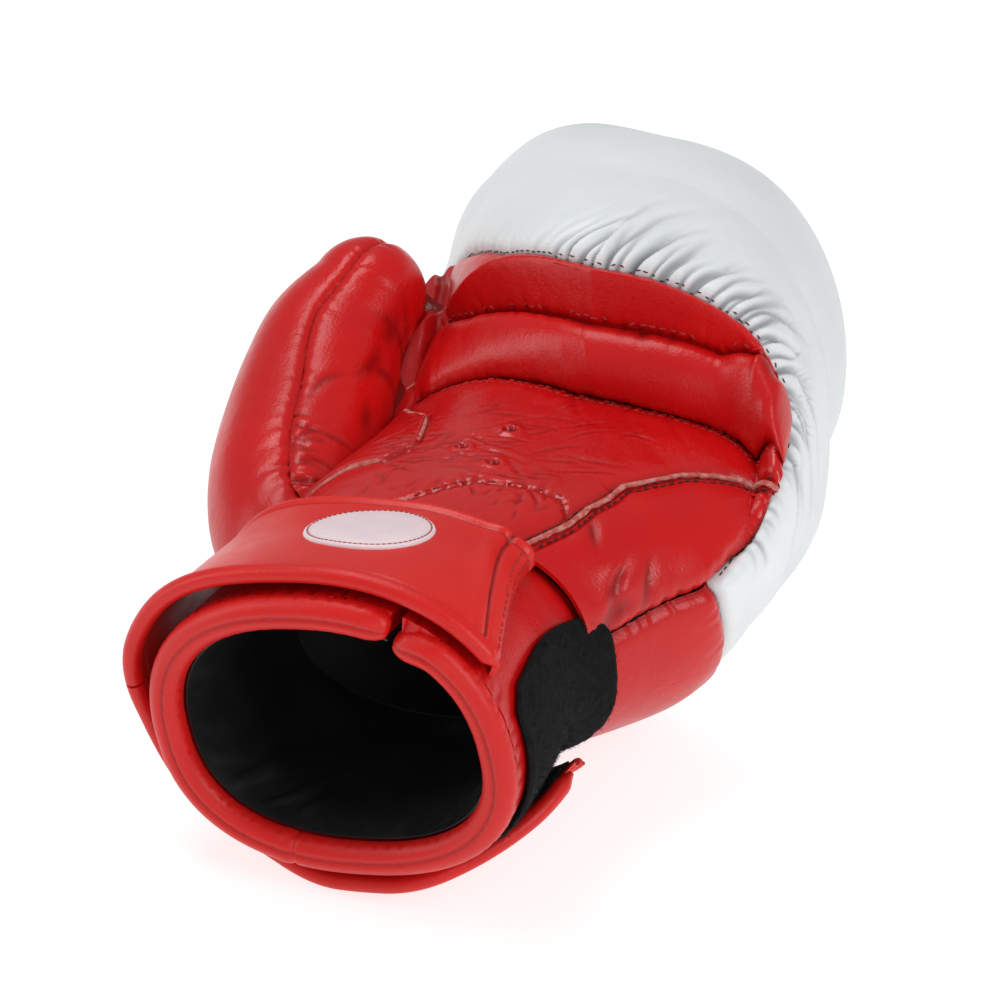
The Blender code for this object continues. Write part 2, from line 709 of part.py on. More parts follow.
def make_thumb_tie(root):
    """The leather tab that ties the thumb's tip to the finger section."""
    path = np.array([(-44.0, 183.0, 100.0), (-40.0, 180.0, 98.0), (-36.0, 178.0, 98.0)])
    add_tube("thumb_tie", path, 2.0, RED_LEATHER, root)


def cut(obj, cutter):
    """Takes the cutter's space out of a piece."""
    opening = obj.modifiers.new("opening", "BOOLEAN")
    opening.operation = "DIFFERENCE"
    opening.solver = "EXACT"
    opening.object = cutter


def make_thumb_port():
    """The round way from the hand compartment into the thumb, as a cutter."""
    start, end = THUMB_PORT
    along = end - start
    grown = bmesh.new()
    bmesh.ops.create_cone(
        grown,
        cap_ends=True,
        segments=20,
        radius1=THUMB_PORT_RADII[0] * MM,
        radius2=THUMB_PORT_RADII[1] * MM,
        depth=along.length * MM,
        matrix=Matrix.Translation(((start + end) / 2 + FRAME_SHIFT) * MM)
        @ along.to_track_quat("Z", "Y").to_matrix().to_4x4(),
    )
    mesh = bpy.data.meshes.new("thumb_port")
    grown.to_mesh(mesh)
    grown.free()
    cutter = bpy.data.objects.new("thumb_port", mesh)
    CUTTERS.objects.link(cutter)
    cutter.hide_render = True
    cutter.display_type = "WIRE"
    return cutter


clear_scene()
GLOVE = make_collection("boxing_glove")
CUTTERS = make_collection("cutters", hidden=True)
WHITE_LEATHER = make_material("white_leather", (0.80, 0.82, 0.83), 0.38)
RED_LEATHER = make_material("red_leather", (0.62, 0.03, 0.025), 0.32)
RED_BINDING = make_material("red_binding", (0.60, 0.035, 0.03), 0.40)
FOAM = make_material("foam", (0.75, 0.72, 0.62), 0.9)
LINING_CLOTH = make_material("lining_cloth", (0.015, 0.016, 0.017), 0.55)
LOOP_CLOTH = make_material("loop_cloth", (0.012, 0.012, 0.013), 0.95)
HOOK_CLOTH = make_material("hook_cloth", (0.010, 0.010, 0.011), 0.80)
BADGE_LEATHER = make_material("badge_leather", (0.78, 0.66, 0.66), 0.40)

ROOT = make_body("glove_frame", Vector((0.0, 0.0, 0.0)))
make_knuckle_panel(ROOT)
make_back_panel(ROOT)
make_heel_panel(ROOT)
make_palm_panel(ROOT)
make_finger_panel(ROOT)
make_knuckle_foam(ROOT)
make_palm_foam(ROOT)
make_hand_lining(ROOT)
make_cuff(ROOT)
make_loop_patch(ROOT)
make_grip_bar(ROOT)
make_thumb_tie(ROOT)
make_strap(ROOT)
make_badge(ROOT)
make_thumb()

THUMB_WAY = make_thumb_port()
for piece in ("back_panel", "palm_panel", "palm_foam", "hand_lining"):
    cut(bpy.data.objects[piece], THUMB_WAY)
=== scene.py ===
# %% [markdown]
# # A boxing glove, lying on its back
# A boxing glove is soft goods: leather panels sewn over foam, turned right side out and pulled
# tight. This lesson builds its leather, piping, strap and lining over a imported frame that fixes
# every size. Each panel is a grid primitive whose vertices are laid on one shared form, and the
# seams, gathers and creases are moved into the mesh, so the surfaces themselves hold them.

# %% Load the frame
import json
import math

import bpy
import numpy as np
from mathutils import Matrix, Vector


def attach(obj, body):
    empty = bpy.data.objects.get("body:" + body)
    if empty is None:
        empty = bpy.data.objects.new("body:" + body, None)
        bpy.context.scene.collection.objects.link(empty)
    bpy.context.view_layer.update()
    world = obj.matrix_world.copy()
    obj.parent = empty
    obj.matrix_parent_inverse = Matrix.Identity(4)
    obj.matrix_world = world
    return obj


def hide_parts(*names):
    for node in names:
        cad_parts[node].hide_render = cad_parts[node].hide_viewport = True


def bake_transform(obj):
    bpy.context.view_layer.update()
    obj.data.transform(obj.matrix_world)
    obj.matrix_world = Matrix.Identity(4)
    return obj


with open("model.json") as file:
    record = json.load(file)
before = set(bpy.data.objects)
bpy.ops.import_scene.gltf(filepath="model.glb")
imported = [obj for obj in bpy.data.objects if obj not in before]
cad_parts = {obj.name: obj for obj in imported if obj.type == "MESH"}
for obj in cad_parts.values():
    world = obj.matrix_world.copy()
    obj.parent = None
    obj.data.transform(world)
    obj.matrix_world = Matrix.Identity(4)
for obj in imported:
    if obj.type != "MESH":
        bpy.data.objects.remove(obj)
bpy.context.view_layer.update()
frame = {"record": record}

MM = 0.001
MOUNT = frame["record"]["mounts"][0]
MOUNT_IN_LAYOUT = np.array([15.0, 165.0, 0.0])
SHIFT = np.array(MOUNT["pos_m"]) / MM - MOUNT_IN_LAYOUT
print("layout origin in the frame, mm:", SHIFT.round(2))

# %% [markdown]
# ## The form
# All the panels share one form: rounded sections along the glove, read from a table. A point of
# it has an angle round the section (0 at the little finger, 90 out of the palm) and a distance
# from the wrist. The numbers are millimetres in the layout of the frame's own solids.

# %% The tables of the form
LEATHER = 1.3
FOLDED_LEATHER = 1.2
STEP_START = 156.0
STEP_END = 161.0
TIP_START = 215.0
TIP_END = 282.0
POLE = (-2.0, 68.0)
ROLL = math.radians(13.0)
# Each row: distance, left and right side, middle height, underside, palm's height, pad's height
BODY = np.array(
    [
        (0, -49.8, 55.5, 50.0, 9.0, 95.0, 95.0),
        (30, -49.0, 53.5, 49.0, 9.0, 91.0, 91.0),
        (62, -48.5, 52.5, 46.0, 7.6, 84.0, 84.0),
        (80, -46.0, 62.0, 45.0, 4.0, 83.5, 84.0),
        (100, -43.0, 74.0, 45.0, 2.0, 81.5, 88.0),
        (130, -42.0, 83.0, 45.0, 0.2, 79.0, 100.0),
        (157, -45.0, 84.0, 45.0, -1.8, 78.0, 112.0),
        (180, -53.0, 78.5, 45.0, -2.0, 78.0, 118.0),
        (205, -61.0, 71.5, 47.0, 0.4, 78.0, 121.5),
        (215, -63.0, 67.5, 49.0, 2.6, 78.0, 121.0),
    ]
)
# Each row: distance, left and right side, middle height, floor and roof of the hand's room
POCKET = np.array(
    [
        (63, -38.5, 42.0, 46.0, 19.0, 73.5),
        (85, -26.5, 50.0, 45.0, 20.0, 69.5),
        (110, -22.5, 57.0, 45.0, 21.5, 66.0),
        (150, -24.0, 62.0, 45.0, 25.0, 65.0),
        (180, -25.0, 61.0, 48.0, 30.0, 66.0),
        (208, -22.0, 54.0, 53.0, 37.0, 69.0),
    ]
)
POCKET_TIP = 226.0
POCKET_POLE = (14.0, 54.0)
# Each row: the centre of a ring of the thumb, and its radius
THUMB = np.array(
    [
        (-38.0, 80.0, 49.0, 16.5),
        (-50.5, 89.0, 50.5, 20.0),
        (-58.8, 108.0, 54.0, 22.6),
        (-64.2, 132.0, 60.0, 23.4),
        (-68.0, 155.0, 71.0, 21.4),
        (-63.5, 172.5, 83.0, 16.6),
    ]
)
THUMB_CLEARANCE = 1.2


# %% Reading the form
def ramp(value, start, end):
    """0 before the start and 1 after the end, with a soft step between them."""
    part = np.clip((value - start) / (end - start), 0.0, 1.0)
    return part * part * (3.0 - 2.0 * part)


def rows_at(table, where):
    """The rows of a table at any distance, on a smooth curve through its knots."""
    knots = table[:, 0]
    values = table[:, 1:]
    slopes = np.gradient(values, knots, axis=0)
    low = np.clip(np.searchsorted(knots, where) - 1, 0, len(knots) - 2)
    step = (knots[low + 1] - knots[low])[..., None]
    part = ((where - knots[low]) / step[..., 0])[..., None]
    square = part * part
    cube = square * part
    return (
        (2 * cube - 3 * square + 1) * values[low]
        + (cube - 2 * square + part) * step * slopes[low]
        + (3 * square - 2 * cube) * values[low + 1]
        + (cube - square) * step * slopes[low + 1]
    )


def rounded(angle, power):
    cosine = np.cos(angle)
    sine = np.sin(angle)
    return (
        np.sign(cosine) * np.abs(cosine) ** (2.0 / power),
        np.sign(sine) * np.abs(sine) ** (2.0 / power),
    )


def thumb_line(count):
    knots = np.arange(len(THUMB), dtype=float)
    rows = rows_at(np.column_stack([knots, THUMB]), np.linspace(0.0, len(THUMB) - 1.0, count))
    return rows[:, :3], rows[:, 3]


def clear_of_thumb(points, middle_x, middle_z):
    """Moves points out of the thumb's rings, towards the middle of the mitt."""
    centres, radii = thumb_line(40)
    used = centres[:, 1] > 98.0
    centres = centres[used]
    reach = radii[used] + THUMB_CLEARANCE
    near = points[..., 0] < 0.0
    found = points[near]
    inward = np.stack([middle_x[near] - found[:, 0], 0 * found[:, 0], middle_z[near] - found[:, 2]], -1)
    inward = inward / np.maximum(np.linalg.norm(inward, axis=-1, keepdims=True), 1e-9)
    for _ in range(14):
        away = np.linalg.norm(found[:, None, :] - centres, axis=-1) - reach
        inside = np.minimum(away.min(axis=-1), 0.0)
        found = found - inward * inside[:, None]
    points = points.copy()
    points[near] = found
    return points


def lean(x):
    ahead = np.minimum(0.36 * np.maximum(12.0 - x, 0.0), 22.0)
    behind = 31.0 * (np.clip(x - 45.0, 0.0, 42.0) / 40.0) ** 3
    return ahead - behind


def form(angle, where):
    """A point on the outside of the glove, at an angle round it and a distance from the wrist."""
    angle, where = np.broadcast_arrays(np.asarray(angle, float), np.asarray(where, float))
    rows = rows_at(BODY, np.minimum(where, TIP_START))
    left, right, middle_z, low, palm, pad = np.moveaxis(rows, -1, 0)
    turned = (angle + 180.0) % 360.0 - 180.0
    wide = 1.0 - ramp(turned, 20.0, 48.0)
    step = ramp(where, STEP_START - 42.0 * wide, STEP_END + 18.0 * wide)
    high = palm + (pad - palm) * step
    past = np.clip((where - TIP_START) / (TIP_END - TIP_START), 0.0, 1.0)
    size = np.sqrt(np.maximum(1.0 - past**2.5, 0.0))
    flat_top = 2.25 + 0.65 * ramp(where, 55.0, 90.0) * (1.0 - step) + 0.35 * step
    across, up = rounded(np.radians(angle), 2.3)
    up = np.where(up > 0, np.abs(up) ** (2.3 / flat_top), up)
    middle_x = (left + right) / 2.0
    x = across * (right - left) / 2.0
    z = np.where(up > 0, up * (high - middle_z), up * (middle_z - low))
    slim = 6.2 * ramp(where, 98.0, 134.0) * (1.0 - ramp(where, 148.0, 186.0))
    slim = slim * ramp(turned, -100.0, -50.0) * (1.0 - ramp(turned, -8.0, 26.0))
    x = x - slim * np.cos(np.radians(angle))
    z = z - slim * np.sin(np.radians(angle))
    roll = ROLL * (1.0 - ramp(where, 28.0, 100.0))
    turned_x = middle_x + x * np.cos(roll) - z * np.sin(roll)
    turned_z = middle_z + x * np.sin(roll) + z * np.cos(roll)
    turned_x = POLE[0] + (turned_x - POLE[0]) * size
    turned_z = POLE[1] + (turned_z - POLE[1]) * size
    share = ramp(turned_z, 30.0, 66.0)
    share = share * ramp(where, 66.0, 128.0) * (1.0 - ramp(where, 172.0, 235.0))
    points = np.stack([turned_x, where + lean(turned_x) * share, turned_z], -1)
    corner = ramp(-points[..., 0], -2.0, 42.0) * ramp(where, 196.0, 238.0)
    points[..., 0] -= 5.0 * corner
    points[..., 1] += 12.0 * corner
    points = clear_of_thumb(points, middle_x + 6.0, middle_z)
    points[..., 2] = np.maximum(points[..., 2], 0.0)
    return points


def pocket(angle, where):
    """A point on the wall of the hand's room inside the glove."""
    angle, where = np.broadcast_arrays(np.asarray(angle, float), np.asarray(where, float))
    last = POCKET[-1, 0]
    rows = rows_at(POCKET, np.clip(where, POCKET[0, 0], last))
    left, right, middle_z, low, high = np.moveaxis(rows, -1, 0)
    past = np.clip((where - last) / (POCKET_TIP - last), 0.0, 1.0)
    size = np.sqrt(np.maximum(1.0 - past**2, 0.0))
    across, up = rounded(np.radians(angle), 2.3)
    x = across * (right - left) / 2.0 * size
    z = up * np.where(up > 0, high - middle_z, middle_z - low) * size
    roll = ROLL * (1.0 - ramp(where, 28.0, 100.0))
    middle_x = (left + right) / 2.0 + (POCKET_POLE[0] - (left + right) / 2.0) * (1 - size)
    middle_z = middle_z + (POCKET_POLE[1] - middle_z) * (1 - size)
    turned_x = middle_x + x * np.cos(roll) - z * np.sin(roll)
    turned_z = middle_z + x * np.sin(roll) + z * np.cos(roll)
    return np.stack([turned_x, where, turned_z], -1)


# %% Measuring and moving a grid of points
def normals(points):
    """Outward directions of a grid whose columns run with the angle and rows to the fingers."""
    rows = np.gradient(points, axis=0)
    columns = np.gradient(points, axis=1)
    outward = np.cross(rows, columns)
    size = np.linalg.norm(outward, axis=-1, keepdims=True)
    return outward / np.maximum(size, 1e-9)


def arc(curve):
    steps = np.linalg.norm(np.diff(curve, axis=0), axis=-1)
    return np.concatenate([[0.0], np.cumsum(steps)])


def resampled(curve, spacing):
    """The curve again, with points at an even spacing."""
    length = arc(curve)
    count = max(2, int(length[-1] / spacing) + 1)
    at = np.linspace(0.0, length[-1], count)
    return np.stack([np.interp(at, length, curve[:, i]) for i in range(curve.shape[1])], -1)


def smooth_path(table, count=400):
    """Rounds a short table of corners into a path with many points."""
    table = np.array(table, float)
    at = np.concatenate([[0.0], np.cumsum(np.hypot(*np.diff(table, axis=0).T[:2]))])
    fine = np.linspace(0.0, at[-1], count)
    path = np.stack([np.interp(fine, at, table[:, i]) for i in range(table.shape[1])], -1)
    for _ in range(max(2, count // 60)):
        path[1:-1] = (path[:-2] + 2.0 * path[1:-1] + path[2:]) / 4.0
    return path


def seam_line(table):
    """A seam's points in space, a millimetre apart, from its angles and distances."""
    path = smooth_path(table)
    return resampled(form(path[:, 0], path[:, 1]), 1.0)


def beside(points, curve):
    """How far along a curve, and how far away from it, each point of a grid is."""
    flat = points.reshape(-1, 3)
    length = arc(curve)
    tangents = np.gradient(curve, axis=0)
    tangents /= np.linalg.norm(tangents, axis=1, keepdims=True)
    along = np.empty(len(flat))
    away = np.empty(len(flat))
    for start in range(0, len(flat), 20000):
        part = flat[start : start + 20000]
        gap = ((part[:, None, :] - curve[None, :, :]) ** 2).sum(-1)
        nearest = gap.argmin(axis=1)
        offset = part - curve[nearest]
        run = (offset * tangents[nearest]).sum(-1)
        along[start : start + 20000] = length[nearest] + run
        sideways = (offset**2).sum(-1) - run**2
        away[start : start + 20000] = np.sqrt(np.maximum(sideways, 0.0))
    return along.reshape(points.shape[:2]), away.reshape(points.shape[:2])


def cloud(points, size, seed):
    """Smooth random values between -1 and 1, in lumps of a size."""
    at = points / size + seed * 17.31
    cell = np.floor(at).astype(np.int64)
    part = at - cell
    part = part * part * (3.0 - 2.0 * part)
    total = 0.0
    for corner in range(8):
        shift = np.array([corner & 1, (corner >> 1) & 1, corner >> 2])
        key = cell + shift
        mixed = key[..., 0] * 73856093 ^ key[..., 1] * 19349663 ^ key[..., 2] * 83492791
        mixed = (mixed ^ (mixed >> 13)) * 1274126177 & 0x7FFFFFFF
        value = (mixed % 10007) / 5003.5 - 1.0
        weight = np.prod(np.where(shift == 1, part, 1.0 - part), axis=-1)
        total = total + weight * value
    return total


# %% [markdown]
# ## Gathers and creases
# Leather that is eased into a curved seam stands in small folds across the seam. Each fold is a
# sharp valley between two soft shoulders, deepest at the seam and fading out. A crease in the
# middle of a panel is the same valley on a short line of its own.


# %% Gathers and creases as heights
def gathers(along, away, span, spacing, reach, depth, width, seed, slant=0.0, loose=0.4):
    """Heights of the folds across a seam, and how deep in a fold each point is, kept as painted shade."""
    random = np.random.default_rng(seed)
    height = np.zeros_like(along)
    fold = np.zeros_like(along)
    place = span[0]
    while place < span[1]:
        place += spacing * random.uniform(1.0 - loose, 1.0 + loose)
        length = random.uniform(*reach)
        deep = random.uniform(*depth)
        wide = random.uniform(*width)
        tilt = random.normal(slant, 0.22 * loose)
        bend = random.normal(0.0, 0.006 * loose)
        wave = random.uniform(0.0, 6.0)
        edge = ramp(place, span[0], span[0] + 12.0) * (1.0 - ramp(place, span[1] - 12.0, span[1]))
        used = (np.abs(along - place) < 3.5 * wide + length * 0.7 + 2.0) & (away < length)
        near = away[used]
        side = along[used] - place - tilt * near - bend * near**2 - 0.35 * np.sin(near / 3.0 + wave)
        grown = wide * (0.75 + 0.9 * near / length)
        fade = (1.0 - near / length) ** 1.2 * edge
        valley = np.exp(-((side / grown) ** 2)) * fade
        shoulder = np.exp(-(((np.abs(side) - 2.3 * grown) / (1.7 * grown)) ** 2)) * fade
        height[used] += deep * (0.42 * shoulder - valley)
        fold[used] = np.maximum(fold[used], valley * min(1.0, deep))
    return height, fold


def creases(points, count, area, heading, length, depth, width, seed):
    """Heights of short creases inside an area of x and y, along a heading in degrees, with their valleys as
    painted shade.
    """
    random = np.random.default_rng(seed)
    height = np.zeros(points.shape[:2])
    fold = np.zeros(points.shape[:2])
    for _ in range(count):
        x = random.uniform(area[0], area[1])
        y = random.uniform(area[2], area[3])
        turn = math.radians(random.normal(*heading))
        long = random.uniform(*length)
        deep = random.uniform(*depth)
        wide = random.uniform(*width)
        bend = random.normal(0.0, 0.018)
        offset_x = points[..., 0] - x
        offset_y = points[..., 1] - y
        run = offset_x * math.cos(turn) + offset_y * math.sin(turn)
        side = offset_y * math.cos(turn) - offset_x * math.sin(turn) - bend * run**2
        fade = np.exp(-((run / long) ** 2) * 2.0)
        valley = np.exp(-((side / wide) ** 2)) * fade
        shoulder = np.exp(-(((np.abs(side) - 2.2 * wide) / (1.4 * wide)) ** 2)) * fade
        height += deep * (0.5 * shoulder - valley)
        fold = np.maximum(fold, valley * 0.6)
    return height, fold


def sewn_in(away, depth, reach):
    """How far a panel is drawn down towards its seam."""
    return -depth * np.exp(-((away / reach) ** 1.4))


# %% [markdown]
# ## Laying a grid primitive on the form
# A panel starts as Blender's grid primitive. Its vertices are then set from a table of points,
# its faces are turned to point out, and a Solidify modifier gives the leather its thickness.


# %% From a table of points to a piece
def lay_grid(name, points, wrap=False, outside=True):
    """A grid primitive whose vertices are set from a table of points, in millimetres."""
    rows, columns = points.shape[:2]
    bpy.ops.object.select_all(action="DESELECT")
    bpy.ops.mesh.primitive_grid_add(x_subdivisions=columns - 1, y_subdivisions=rows - 1, size=1.0)
    piece = bpy.context.object
    piece.name = name
    piece.data.name = name
    placed = (points.reshape(-1, 3) + SHIFT) * MM
    piece.data.vertices.foreach_set("co", placed.astype(np.float32).ravel())
    if outside:
        piece.data.flip_normals()
    piece.data.update()
    if wrap:
        bpy.ops.object.mode_set(mode="EDIT")
        bpy.ops.mesh.select_all(action="SELECT")
        bpy.ops.mesh.remove_doubles(threshold=0.00001)
        bpy.ops.object.mode_set(mode="OBJECT")
    return piece


def keep_fold_shade(piece, fold):
    """Keeps how deep in a fold each vertex is, for the material to darken the colour there as painted shade.
    """
    layer = piece.data.attributes.new("fold", "FLOAT", "POINT")
    layer.data.foreach_set("value", np.clip(fold, 0.0, 1.0).astype(np.float32).ravel())


def thicken(piece, thickness):
    bpy.context.view_layer.objects.active = piece
    wall = piece.modifiers.new("thickness", "SOLIDIFY")
    wall.thickness = thickness * MM
    wall.offset = -1.0
    bpy.ops.object.modifier_apply(modifier=wall.name)


def finish(piece, material, body, nodes):
    """Smooth shading and the material; hides the frame's nodes that the piece replaces and parents it to a
    body.
    """
    bpy.ops.object.select_all(action="DESELECT")
    piece.select_set(True)
    bpy.context.view_layer.objects.active = piece
    bpy.ops.object.shade_smooth_by_angle(angle=math.radians(75.0))
    piece.data.materials.clear()
    piece.data.materials.append(material)
    if nodes:
        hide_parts(*nodes)
    if body:
        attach(piece, body)
    print(piece.name, len(piece.data.polygons), "faces")
    return piece


# %% [markdown]
# ## Materials
# One small class wraps a node's socket, so that shader maths is written as Python expressions.
# Every leather has a pebbled grain, fine wrinkles, a tone that drifts, and painted shade in its folds.


# %% A small shader language
class Socket:
    def __init__(self, tree, socket):
        self.tree = tree
        self.socket = socket

    def math(self, operation, other=None, swapped=False):
        node = self.tree.nodes.new("ShaderNodeMath")
        node.operation = operation
        sockets = [node.inputs[0], node.inputs[1]]
        if swapped:
            sockets.reverse()
        self.tree.links.new(self.socket, sockets[0])
        if isinstance(other, Socket):
            self.tree.links.new(other.socket, sockets[1])
        elif other is not None:
            sockets[1].default_value = other
        return Socket(self.tree, node.outputs[0])

    def __add__(self, other):
        return self.math("ADD", other)

    def __mul__(self, other):
        return self.math("MULTIPLY", other)

    def __sub__(self, other):
        return self.math("SUBTRACT", other)

    def __rsub__(self, other):
        return self.math("SUBTRACT", other, swapped=True)

    __radd__ = __add__
    __rmul__ = __mul__


class Finish:
    """A material being mixed: node() adds any node, and mixed() and set() use the results."""

    def __init__(self, name):
        self.material = bpy.data.materials.new(name)
        self.material.use_nodes = True
        self.tree = self.material.node_tree
        self.shader = self.tree.nodes["Principled BSDF"]
        place = self.tree.nodes.new("ShaderNodeTexCoord")
        self.place = Socket(self.tree, place.outputs["Object"])

    def node(self, kind, settings=None, values=None, output=0):
        node = self.tree.nodes.new(kind)
        for key, value in (settings or {}).items():
            setattr(node, key, value)
        for key, value in (values or {}).items():
            if isinstance(value, Socket):
                self.tree.links.new(value.socket, node.inputs[key])
            else:
                node.inputs[key].default_value = value
        return Socket(self.tree, node.outputs[output])

    def noise(self, scale, detail=2.0, roughness=0.5, place=None):
        values = {"Scale": scale, "Detail": detail, "Roughness": roughness}
        values["Vector"] = place or self.place
        return self.node("ShaderNodeTexNoise", values=values)

    def cells(self, scale, feature="F1"):
        settings = {"feature": feature}
        return self.node("ShaderNodeTexVoronoi", settings, {"Scale": scale, "Vector": self.place})

    def stretched(self, scale):
        values = {"Vector": self.place, "Scale": scale}
        return self.node("ShaderNodeMapping", {"vector_type": "POINT"}, values)

    def between(self, value, low, high):
        settings = {"interpolation_type": "SMOOTHSTEP"}
        values = {"Value": value, "From Min": low, "From Max": high}
        return self.node("ShaderNodeMapRange", settings, values)

    def attribute(self, name):
        return self.node("ShaderNodeAttribute", {"attribute_name": name}, output="Fac")

    def mixed(self, amount, first, second):
        settings = {"data_type": "RGBA"}
        node = self.tree.nodes.new("ShaderNodeMix")
        node.data_type = settings["data_type"]
        self.tree.links.new(amount.socket, node.inputs["Factor"])
        for key, value in ((6, first), (7, second)):
            if isinstance(value, Socket):
                self.tree.links.new(value.socket, node.inputs[key])
            else:
                node.inputs[key].default_value = (*value, 1.0)
        return Socket(self.tree, node.outputs[2])

    def set(self, name, value):
        if isinstance(value, Socket):
            self.tree.links.new(value.socket, self.shader.inputs[name])
        else:
            self.shader.inputs[name].default_value = value

    def bump(self, height, strength, distance):
        values = {"Height": height, "Strength": strength, "Distance": distance}
        self.set("Normal", self.node("ShaderNodeBump", values=values))


# %% The leathers
def make_leather(name, colour, deep, worn, roughness, grain, wrinkle, coat, specular=0.5):
    """Colour drifts slowly, is darkened in the folds as painted shade, and the gloss changes over the grain.
    """
    mix = Finish(name)
    drift = mix.between(mix.noise(28.0, 3.0), 0.30, 0.70)
    fold = mix.attribute("fold")
    tone = mix.mixed(drift, colour, worn)
    # Painted shade: the colour is mixed towards the deep colour as the fold attribute rises.
    mix.set("Base Color", mix.mixed(mix.between(fold, 0.05, 0.95), tone, deep))
    pebbles = mix.cells(1150.0)
    fine = mix.noise(2600.0, 2.0)
    lines = mix.noise(1.0, 3.0, 0.6, mix.stretched((520.0, 170.0, 300.0)))
    soft = mix.noise(150.0, 3.0)
    height = pebbles * grain + fine * (0.5 * grain) + lines * wrinkle + soft * (1.6 * wrinkle)
    mix.bump(height, 1.0, 0.00022)
    mix.set("Roughness", mix.between(soft, 0.1, 0.9) * 0.10 + drift * 0.06 + (roughness - 0.08))
    mix.set("Coat Weight", coat)
    mix.set("Coat Roughness", 0.16)
    mix.set("Specular IOR Level", specular)
    return mix.material


# The second colour of each leather is its painted shade for folds and seams.
WHITE_LEATHER = make_leather(
    "white_leather", (0.74, 0.77, 0.78), (0.30, 0.31, 0.33), (0.69, 0.72, 0.73), 0.46, 0.30, 0.35, 0.0
)
RED_LEATHER = make_leather(
    "red_leather", (0.56, 0.004, 0.004), (0.16, 0.0004, 0.001), (0.50, 0.003, 0.004),
    0.31, 0.20, 0.46, 0.0, 0.34,
)
PALM_LEATHER = make_leather(
    "palm_leather", (0.54, 0.004, 0.004), (0.24, 0.001, 0.001), (0.48, 0.003, 0.004),
    0.26, 0.16, 0.85, 0.0, 0.5,
)
STRAP_LEATHER = make_leather(
    "strap_leather", (0.66, 0.012, 0.008), (0.24, 0.002, 0.002), (0.61, 0.010, 0.007),
    0.36, 0.20, 0.22, 0.0, 0.40,
)
RED_BINDING = make_leather(
    "red_binding", (0.62, 0.009, 0.007), (0.26, 0.001, 0.001), (0.57, 0.008, 0.006),
    0.42, 0.22, 0.22, 0.0, 0.34,
)


# %% Lining, pile, thread and cut edges
def make_plain(name, colour, other, scale, roughness, bump, specular=0.5):
    mix = Finish(name)
    patch = mix.between(mix.noise(scale, 4.0), 0.35, 0.65)
    mix.set("Base Color", mix.mixed(patch, colour, other))
    mix.bump(mix.noise(scale * 22.0, 3.0), 1.0, bump)
    mix.set("Roughness", patch * 0.08 + roughness)
    mix.set("Specular IOR Level", specular)
    return mix.material


LINING = make_plain("lining_cloth", (0.012, 0.013, 0.014), (0.016, 0.017, 0.018), 60.0, 0.36, 0.00012)
PILE = make_plain("loop_pile", (0.0045, 0.0045, 0.005), (0.010, 0.010, 0.011), 420.0, 0.92, 0.0004, 0.2)
HOOKS = make_plain("hook_cloth", (0.006, 0.006, 0.007), (0.012, 0.012, 0.013), 900.0, 0.75, 0.0003, 0.3)
RED_THREAD = make_plain("red_thread", (0.34, 0.008, 0.008), (0.46, 0.014, 0.012), 900.0, 0.62, 0.0001)
DARK_THREAD = make_plain("dark_thread", (0.055, 0.004, 0.005), (0.09, 0.006, 0.006), 900.0, 0.62, 0.0001)
RAW_EDGE = make_plain("raw_edge", (0.72, 0.30, 0.26), (0.60, 0.10, 0.08), 500.0, 0.85, 0.0003, 0.3)
BADGE_PALE = make_plain("badge_pale", (0.80, 0.66, 0.68), (0.76, 0.62, 0.66), 160.0, 0.48, 0.0001)

# %% [markdown]
# ## Seams of the mitt
# A seam is a table of corners: an angle and a distance. The panels on both sides of it are laid
# to the same line, so they meet there, and both are drawn down into it.

# %% The seam tables
PALM_WHITE = (
    (24, 156.5, 4), (23.4, 161, 9), (24, 165.5, 15), (27, 169, 23), (31, 170, 31), (34, 169.5, 36),
    (39, 168, 43), (47, 167, 52), (51, 166.3, 56), (57, 165, 62), (64, 164.5, 69), (70, 164.5, 75),
    (83, 164.3, 87), (93, 163.8, 96), (103, 162.8, 105), (125, 164, 126), (144, 173, 145),
    (157, 184, 158), (168, 188, 168), (178, 188, 178),
)  # fmt: skip
HEEL_WHITE = (
    (17, 105.5, -30), (21, 111, -28), (26, 121.5, -23), (27, 140, -12), (24.5, 150.5, -2), (24, 156.5, 4),
)  # fmt: skip
BACK_WHITE = (
    (-182, 188, -182), (-172, 166, -174), (-152, 136, -156), (-120, 125, -122), (-90, 122, -92),
    (-45, 117, -64), (-15, 108, -42), (-8, 107.5, -38), (8, 107, -33), (13, 105.5, -31), (17, 105.5, -30),
)  # fmt: skip
HEEL_CREASE = ((4, 66), (5, 69), (8, 78), (13, 91), (17, 105.5))
HEEL_TOP = (
    (54, 63), (56, 72), (58, 80), (63, 89), (67, 105), (59, 122), (50, 132.5), (44, 139.5),
    (36, 145.5), (25, 151),
)  # fmt: skip
GRIP_LOW = (
    (24.5, 158.5), (32, 155.5), (40, 154.3), (53, 154), (69, 151.8), (87, 151.2), (100, 150.2),
    (119, 146), (136, 139.5), (147, 135), (160, 132), (178, 130),
)  # fmt: skip
GRIP_HIGH = (
    (26, 168.6), (30, 169.0), (34, 167.5), (40, 163), (50, 160), (62, 158.9), (102, 158.5),
    (138, 158.2), (152, 158.6), (165, 160), (178, 164),
)  # fmt: skip

LINES = {
    "palm_white": seam_line(PALM_WHITE),
    "heel_white": seam_line(HEEL_WHITE),
    "back_white": seam_line(BACK_WHITE),
    "heel_crease": seam_line(HEEL_CREASE),
    "heel_top": seam_line(HEEL_TOP),
    "grip_low": seam_line(GRIP_LOW),
    "grip_high": seam_line(GRIP_HIGH),
}
for title, line in LINES.items():
    print(title, round(float(arc(line)[-1])), "mm")


# %% A panel between two edges
def even(path, count, weights=None):
    """A path of angles and distances again, with its points spaced evenly over the form."""
    length = arc(form(path[:, 0], path[:, 1]))
    if weights is not None:
        length = arc(np.cumsum(np.gradient(length) * weights(path))[:, None])
    at = np.linspace(0.0, length[-1], count)
    return np.stack([np.interp(at, length, path[:, i]) for i in range(path.shape[1])], -1)


